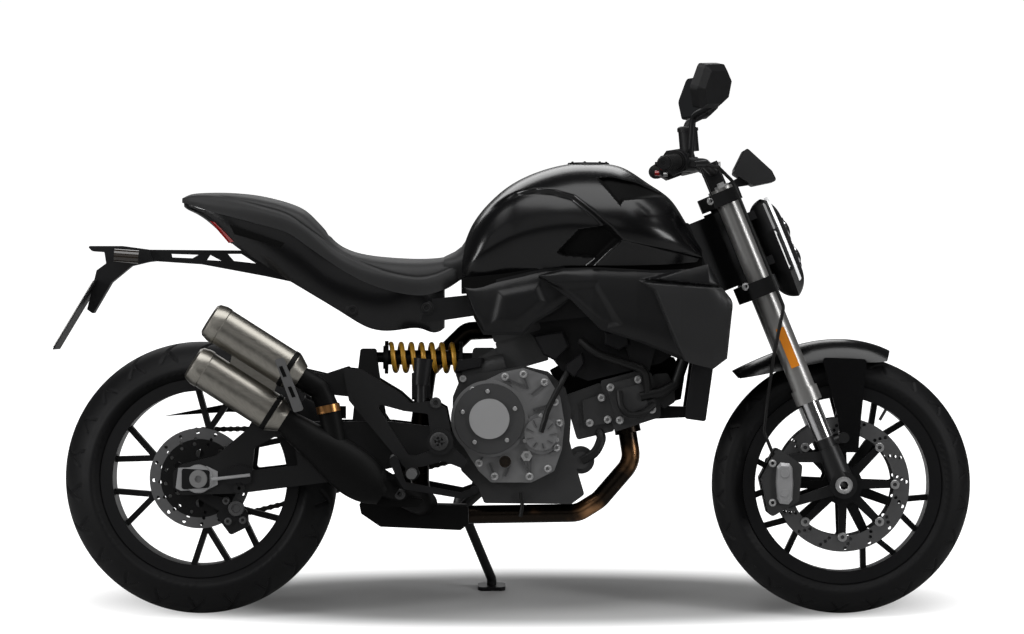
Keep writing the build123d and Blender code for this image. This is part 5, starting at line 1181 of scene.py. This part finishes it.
# %% Switch boxes and clamps
SWITCH_BOX = mm((-33, 8), (-22, 24), (6, 28), (26, 16), (22, -20), (-8, -31), (-30, -18))
COLLARS = ((0.1265, 0.0252, 0.003, 0), (0.155, 0.0252, 0.002, 0), (0.169, 0.0215, 0.006, 1),
           (0.181, 0.0205, 0.002, 0))
CLAMP_SCREW = [(0.0, 0.001), (0.0024, 0.001), (0.0026, 0.006), (0.0048, 0.006), (0.005, -0.004)]
BAR_SCREW = [(0.0, 0.001), (0.0028, 0.001), (0.003, 0.007), (0.0055, 0.007), (0.006, -0.012)]
BAR_CLAMP_Y = 0.046


def collar(radius, half):
    """A ring round the bar, its outer corners taken off."""
    edge = [(0.011, -half), (radius - 0.001, -half), (radius, 0.001 - half)]
    return edge + [(r, -h) for r, h in reversed(edge)]


controls = Kit()
for side in (RIGHT, LEFT):
    outer, along, turned_to = grip_line(side)
    box_turn = along.to_track_quat("Y", "Z").to_matrix().to_4x4() @ Matrix.Diagonal((side, 1, 1, 1))
    box_place = Matrix.Translation(outer - along * 0.14) @ box_turn
    controls.plate(SWITCH_BOX, -0.016, 0.014, 0, box_place)
    for back, radius, half, finish_of in COLLARS:
        controls.turned(collar(radius, half), Matrix.Translation(outer - along * back) @ turned_to, 32,
                        finish_of)
    for drop in (0.017, -0.019):
        spot = Matrix.Translation(outer - along * 0.169 + Vector((-0.018, 0, drop)))
        controls.turned(CLAMP_SCREW, spot @ REARWARD, 14, 2)
    spot = Matrix.Translation(BAR + Vector((0, side * BAR_CLAMP_Y, 0)))
    controls.turned(collar(0.0205, 0.014), spot @ Matrix.Rotation(math.pi / 2, 4, "X"), 32, 1)
    for ahead in (0.014, -0.014):
        spot = Matrix.Translation(BAR + Vector((ahead, side * BAR_CLAMP_Y, 0.016)))
        controls.turned(BAR_SCREW, spot, 16, 2)
    for w in (0.505, 0.716):
        spot = FORK @ Vector((-0.036, 0, w))
        y = side_of("fork_yokes", spot.x, spot.z, side)
        if y is not None:
            controls.turned(SCREW, facing(spot.x, y, spot.z, side), 16, 2)
outer, along, turned_to = grip_line(RIGHT)
lid_place = Matrix.Translation(outer - along * 0.1685 + Vector((0.0194, 0.042, 0.075)))
controls.turned([(0.0, 0.0035), (0.019, 0.0035), (0.0215, 0.002), (0.0235, 0.0), (0.0235, -0.002)],
                lid_place, 32, 1)
for x in (0.013, -0.013):
    controls.turned([(0.0, 0.0045), (0.003, 0.0045), (0.0034, 0.002)],
                    lid_place @ Matrix.Translation((x, 0, 0)), 12, 2)
controls.make("control_fittings", (MOULDED_BLACK, ALLOY_GREY, BARE_STEEL), "steering", "hand_controls")

# %% [markdown]
# ## Grips, weights and buttons
# Sixteen rings make each grip's ribs. The bar's weight is one turned profile with a socket in its end. Two
# buttons stand on the rider's side of each switch box.

# %% Grip rings, bar weights and buttons
GRIP_RINGS = 16
GRIP_RING = [(0.016, -0.0022), (0.0176, -0.001), (0.0176, 0.001), (0.016, 0.0022)]
BAR_WEIGHT = [(0.0, 0.0125), (0.005, 0.0125), (0.0055, 0.014), (0.0135, 0.014), (0.0148, 0.012),
              (0.0148, 0.002), (0.012, 0.0), (0.012, -0.004)]
BUTTON = [(0.0, 0.008), (0.005, 0.008), (0.006, 0.006), (0.006, -0.008)]
rings_kit, weights, switches = Kit(), Kit(), Kit()
for side in (RIGHT, LEFT):
    outer, along, turned_to = grip_line(side)
    for k in range(GRIP_RINGS):
        ring_place = Matrix.Translation(outer - along * (0.01 + 0.0068 * k)) @ turned_to
        rings_kit.turned(GRIP_RING, ring_place, 28)
    weights.turned(BAR_WEIGHT, Matrix.Translation(outer) @ turned_to, 32)
    hub = BAR + Vector((-0.084, side * 0.268, 0.017))
    for height, finish_of in ((0.008, 0), (-0.013, 1)):
        place = Matrix.Translation(hub + Vector((-0.032, 0, height))) @ REARWARD
        switches.turned(BUTTON, place, 18, finish_of)
rings_kit.make("grip_rings", GRIP_RUBBER, "steering", "grips")
weights.make("bar_weights", ALLOY_BLACK, "steering", "handlebar")
switches.make("switch_buttons", (MOULDED_BLACK, RED_LENS), "steering", "hand_controls")

# %% [markdown]
# ## The tail and the plate
# On each side the tail has a vent slot and two fastenings to the frame, and its lamp reaches round the
# corner. A black board stands behind the blank plate. Vent and lamp are thin skins laid on the CAD tail; the
# vent's skin is near black, painted shade for the slot.

# %% Vent, fastenings and plate board
# The vent is painted shade: a near-black skin on the tail's face where the slot would be dark.
tail = Kit()
for side in (RIGHT, LEFT):
    patch(tail, "tail_unit", mm((70, 893), (196, 852), (186, 842), (80, 872)), 0.0012, side=side)
tail.make("tail_vent_painted_shade", MATTE_BLACK_AND_PAINTED_SHADE, "chassis", "tail_unit", sharp=60)
tail_lamp = Kit()
for side in (RIGHT, LEFT):
    patch(tail_lamp, "tail_unit", mm((22, 903), (34, 900), (78, 856), (66, 852)), 0.0016, side=side)
tail_lamp.make("tail_lamp_sides", RED_LENS, "chassis", "tail_light", sharp=60)
fastenings = Kit()
for side in (RIGHT, LEFT):
    for x, z in mm((351, 698), (520, 704)):
        y = side_of("tail_unit", x, z, side)
        if y is not None:
            fastenings.turned([(0.0, 0.003), (0.006, 0.003), (0.007, 0.006), (0.0105, 0.006),
                               (0.012, 0.004), (0.012, 0.001), (0.0165, 0.0), (0.0165, -0.012)],
                              facing(x, y, z, side), 24)
fastenings.make("tail_fastenings", ALLOY_GREY, "chassis", "tail_unit")
lean_plate = math.radians(31)
PLATE = Matrix.Translation((-0.29, 0, 0.69)) @ Matrix.Rotation(lean_plate, 4, "Y")
board = Kit().plate([(0.0022, -0.093), (0.0022, 0.093), (0.0045, 0.093), (0.0045, -0.093)], -0.105, 0.105,
                    0, PLATE)
board.make("plate_board", MOULDED_BLACK, "chassis", "plate_hanger")

# %% [markdown]
# ## The studio
# The background is plain white. The floor is pale and keeps the machine's soft shadow. Camera rays see
# the floor glow more the farther it is from the machine, so it fades into the white world without throwing
# more light on the machine. Over a wide ellipse round the machine the glow is left out, which paints a
# darker shadow band on top of the real shadow.

# %% Floor and world
scene = bpy.context.scene
scene.view_settings.view_transform = "Standard"
world = bpy.data.worlds.new("studio")
scene.world = world
world.use_nodes = True
tree = world.node_tree
sky = tree.nodes["Background"]
sky.inputs["Color"].default_value = (1, 1, 1, 1)
seen = Pattern(tree, tree.nodes.new("ShaderNodeLightPath").outputs["Is Camera Ray"])
tree.links.new((seen * 0.955 + 0.045).socket, sky.inputs["Strength"])


def floor_glow_and_painted_shadow(at):
    """A glow only the camera meets, left out over an ellipse wider than the machine's shadow, which paints a
    darker shadow band there.
    """
    paths = at.tree.nodes.new("ShaderNodeLightPath")
    meets = Pattern(at.tree, paths.outputs["Is Camera Ray"])
    meets += Pattern(at.tree, paths.outputs["Is Transmission Ray"])
    # Inside the ellipse the glow falls to nothing: painted shadow under the machine.
    spread = at.vector("MULTIPLY", at.vector("SUBTRACT", at, (0.04, -0.05, 0)), (1, 3.1, 1))
    out = at.vector("LENGTH", spread, output=1).blur_step(0.62, 1.22)
    return {"Emission Color": (meets * out).between((0, 0, 0), (1, 1, 1))}


bpy.ops.mesh.primitive_plane_add(size=160)
floor = bpy.context.object
floor.name = "studio_floor"
floor.data.materials.append(finish("studio_floor", (0.5, 0.5, 0.5), 0.9, look=floor_glow_and_painted_shadow,
                                   emission_strength=1.0, specular_ior_level=0.0))
print("floor", floor.name, "and world", world.name)

# %% [markdown]
# ## Soft lamps
# Black paint shows only what it mirrors, so the lamps are large and few: one above, a weak one by the
# camera, a strip ahead and one behind that draw the edges, and one on the far side.

# %% Soft lamps
def soft_lamp(name, where, aim, size, watts):
    lamp = bpy.data.lights.new(name, "AREA")
    lamp.shape, lamp.size, lamp.size_y, lamp.energy = "RECTANGLE", size[0], size[1], watts
    holder = bpy.data.objects.new(name, lamp)
    scene.collection.objects.link(holder)
    holder.location = where
    holder.rotation_euler = (Vector(aim) - Vector(where)).to_track_quat("-Z", "Y").to_euler()


soft_lamp("overhead", (0.2, -0.6, 3.4), (0, 0, 0.4), (4.5, 2.0), 100)
soft_lamp("camera_side", (-1.2, -4.2, 2.4), (0, 0, 0.5), (3.6, 2.4), 12)
soft_lamp("front_strip", (3.5, -2.2, 1.9), (0.5, 0, 0.6), (0.7, 2.2), 60)
soft_lamp("rear_strip", (-3.5, -1.8, 1.6), (-0.1, 0, 0.7), (0.8, 2.0), 64)
soft_lamp("far_side", (-0.6, 4.0, 2.6), (0, 0, 0.6), (3.6, 2.0), 50)
print("studio lit")

# %% [markdown]
# ## The camera
# The photograph is taken square to the machine from far away. Its scale is known from the wheels, so the
# camera's place follows: on the machine's own side axis, with a long lens that makes one pixel 2.306 mm at
# the middle plane.

# %% Camera
WIDTH, HEIGHT, MM_PER_PIXEL = 1024, 634, 2.306
REAR_AXLE_PIXEL, ROAD_PIXEL = 201.6, 613.0
DISTANCE = 14.0
camera = bpy.data.cameras.new("photo_camera")
camera.sensor_width = 36.0
camera.lens = camera.sensor_width * DISTANCE / (WIDTH * MM_PER_PIXEL / 1000)
camera.clip_end = 300
eye = bpy.data.objects.new("photo_camera", camera)
scene.collection.objects.link(eye)
middle_x = (WIDTH / 2 - REAR_AXLE_PIXEL) * MM_PER_PIXEL / 1000
middle_z = (ROAD_PIXEL - HEIGHT / 2) * MM_PER_PIXEL / 1000
level = Matrix.Rotation(math.pi / 2, 4, "X")
eye.matrix_world = LEAN @ Matrix.Translation((middle_x, -DISTANCE, middle_z)) @ level
scene.camera = eye
print("camera lens", round(camera.lens, 1))

# %% [markdown]
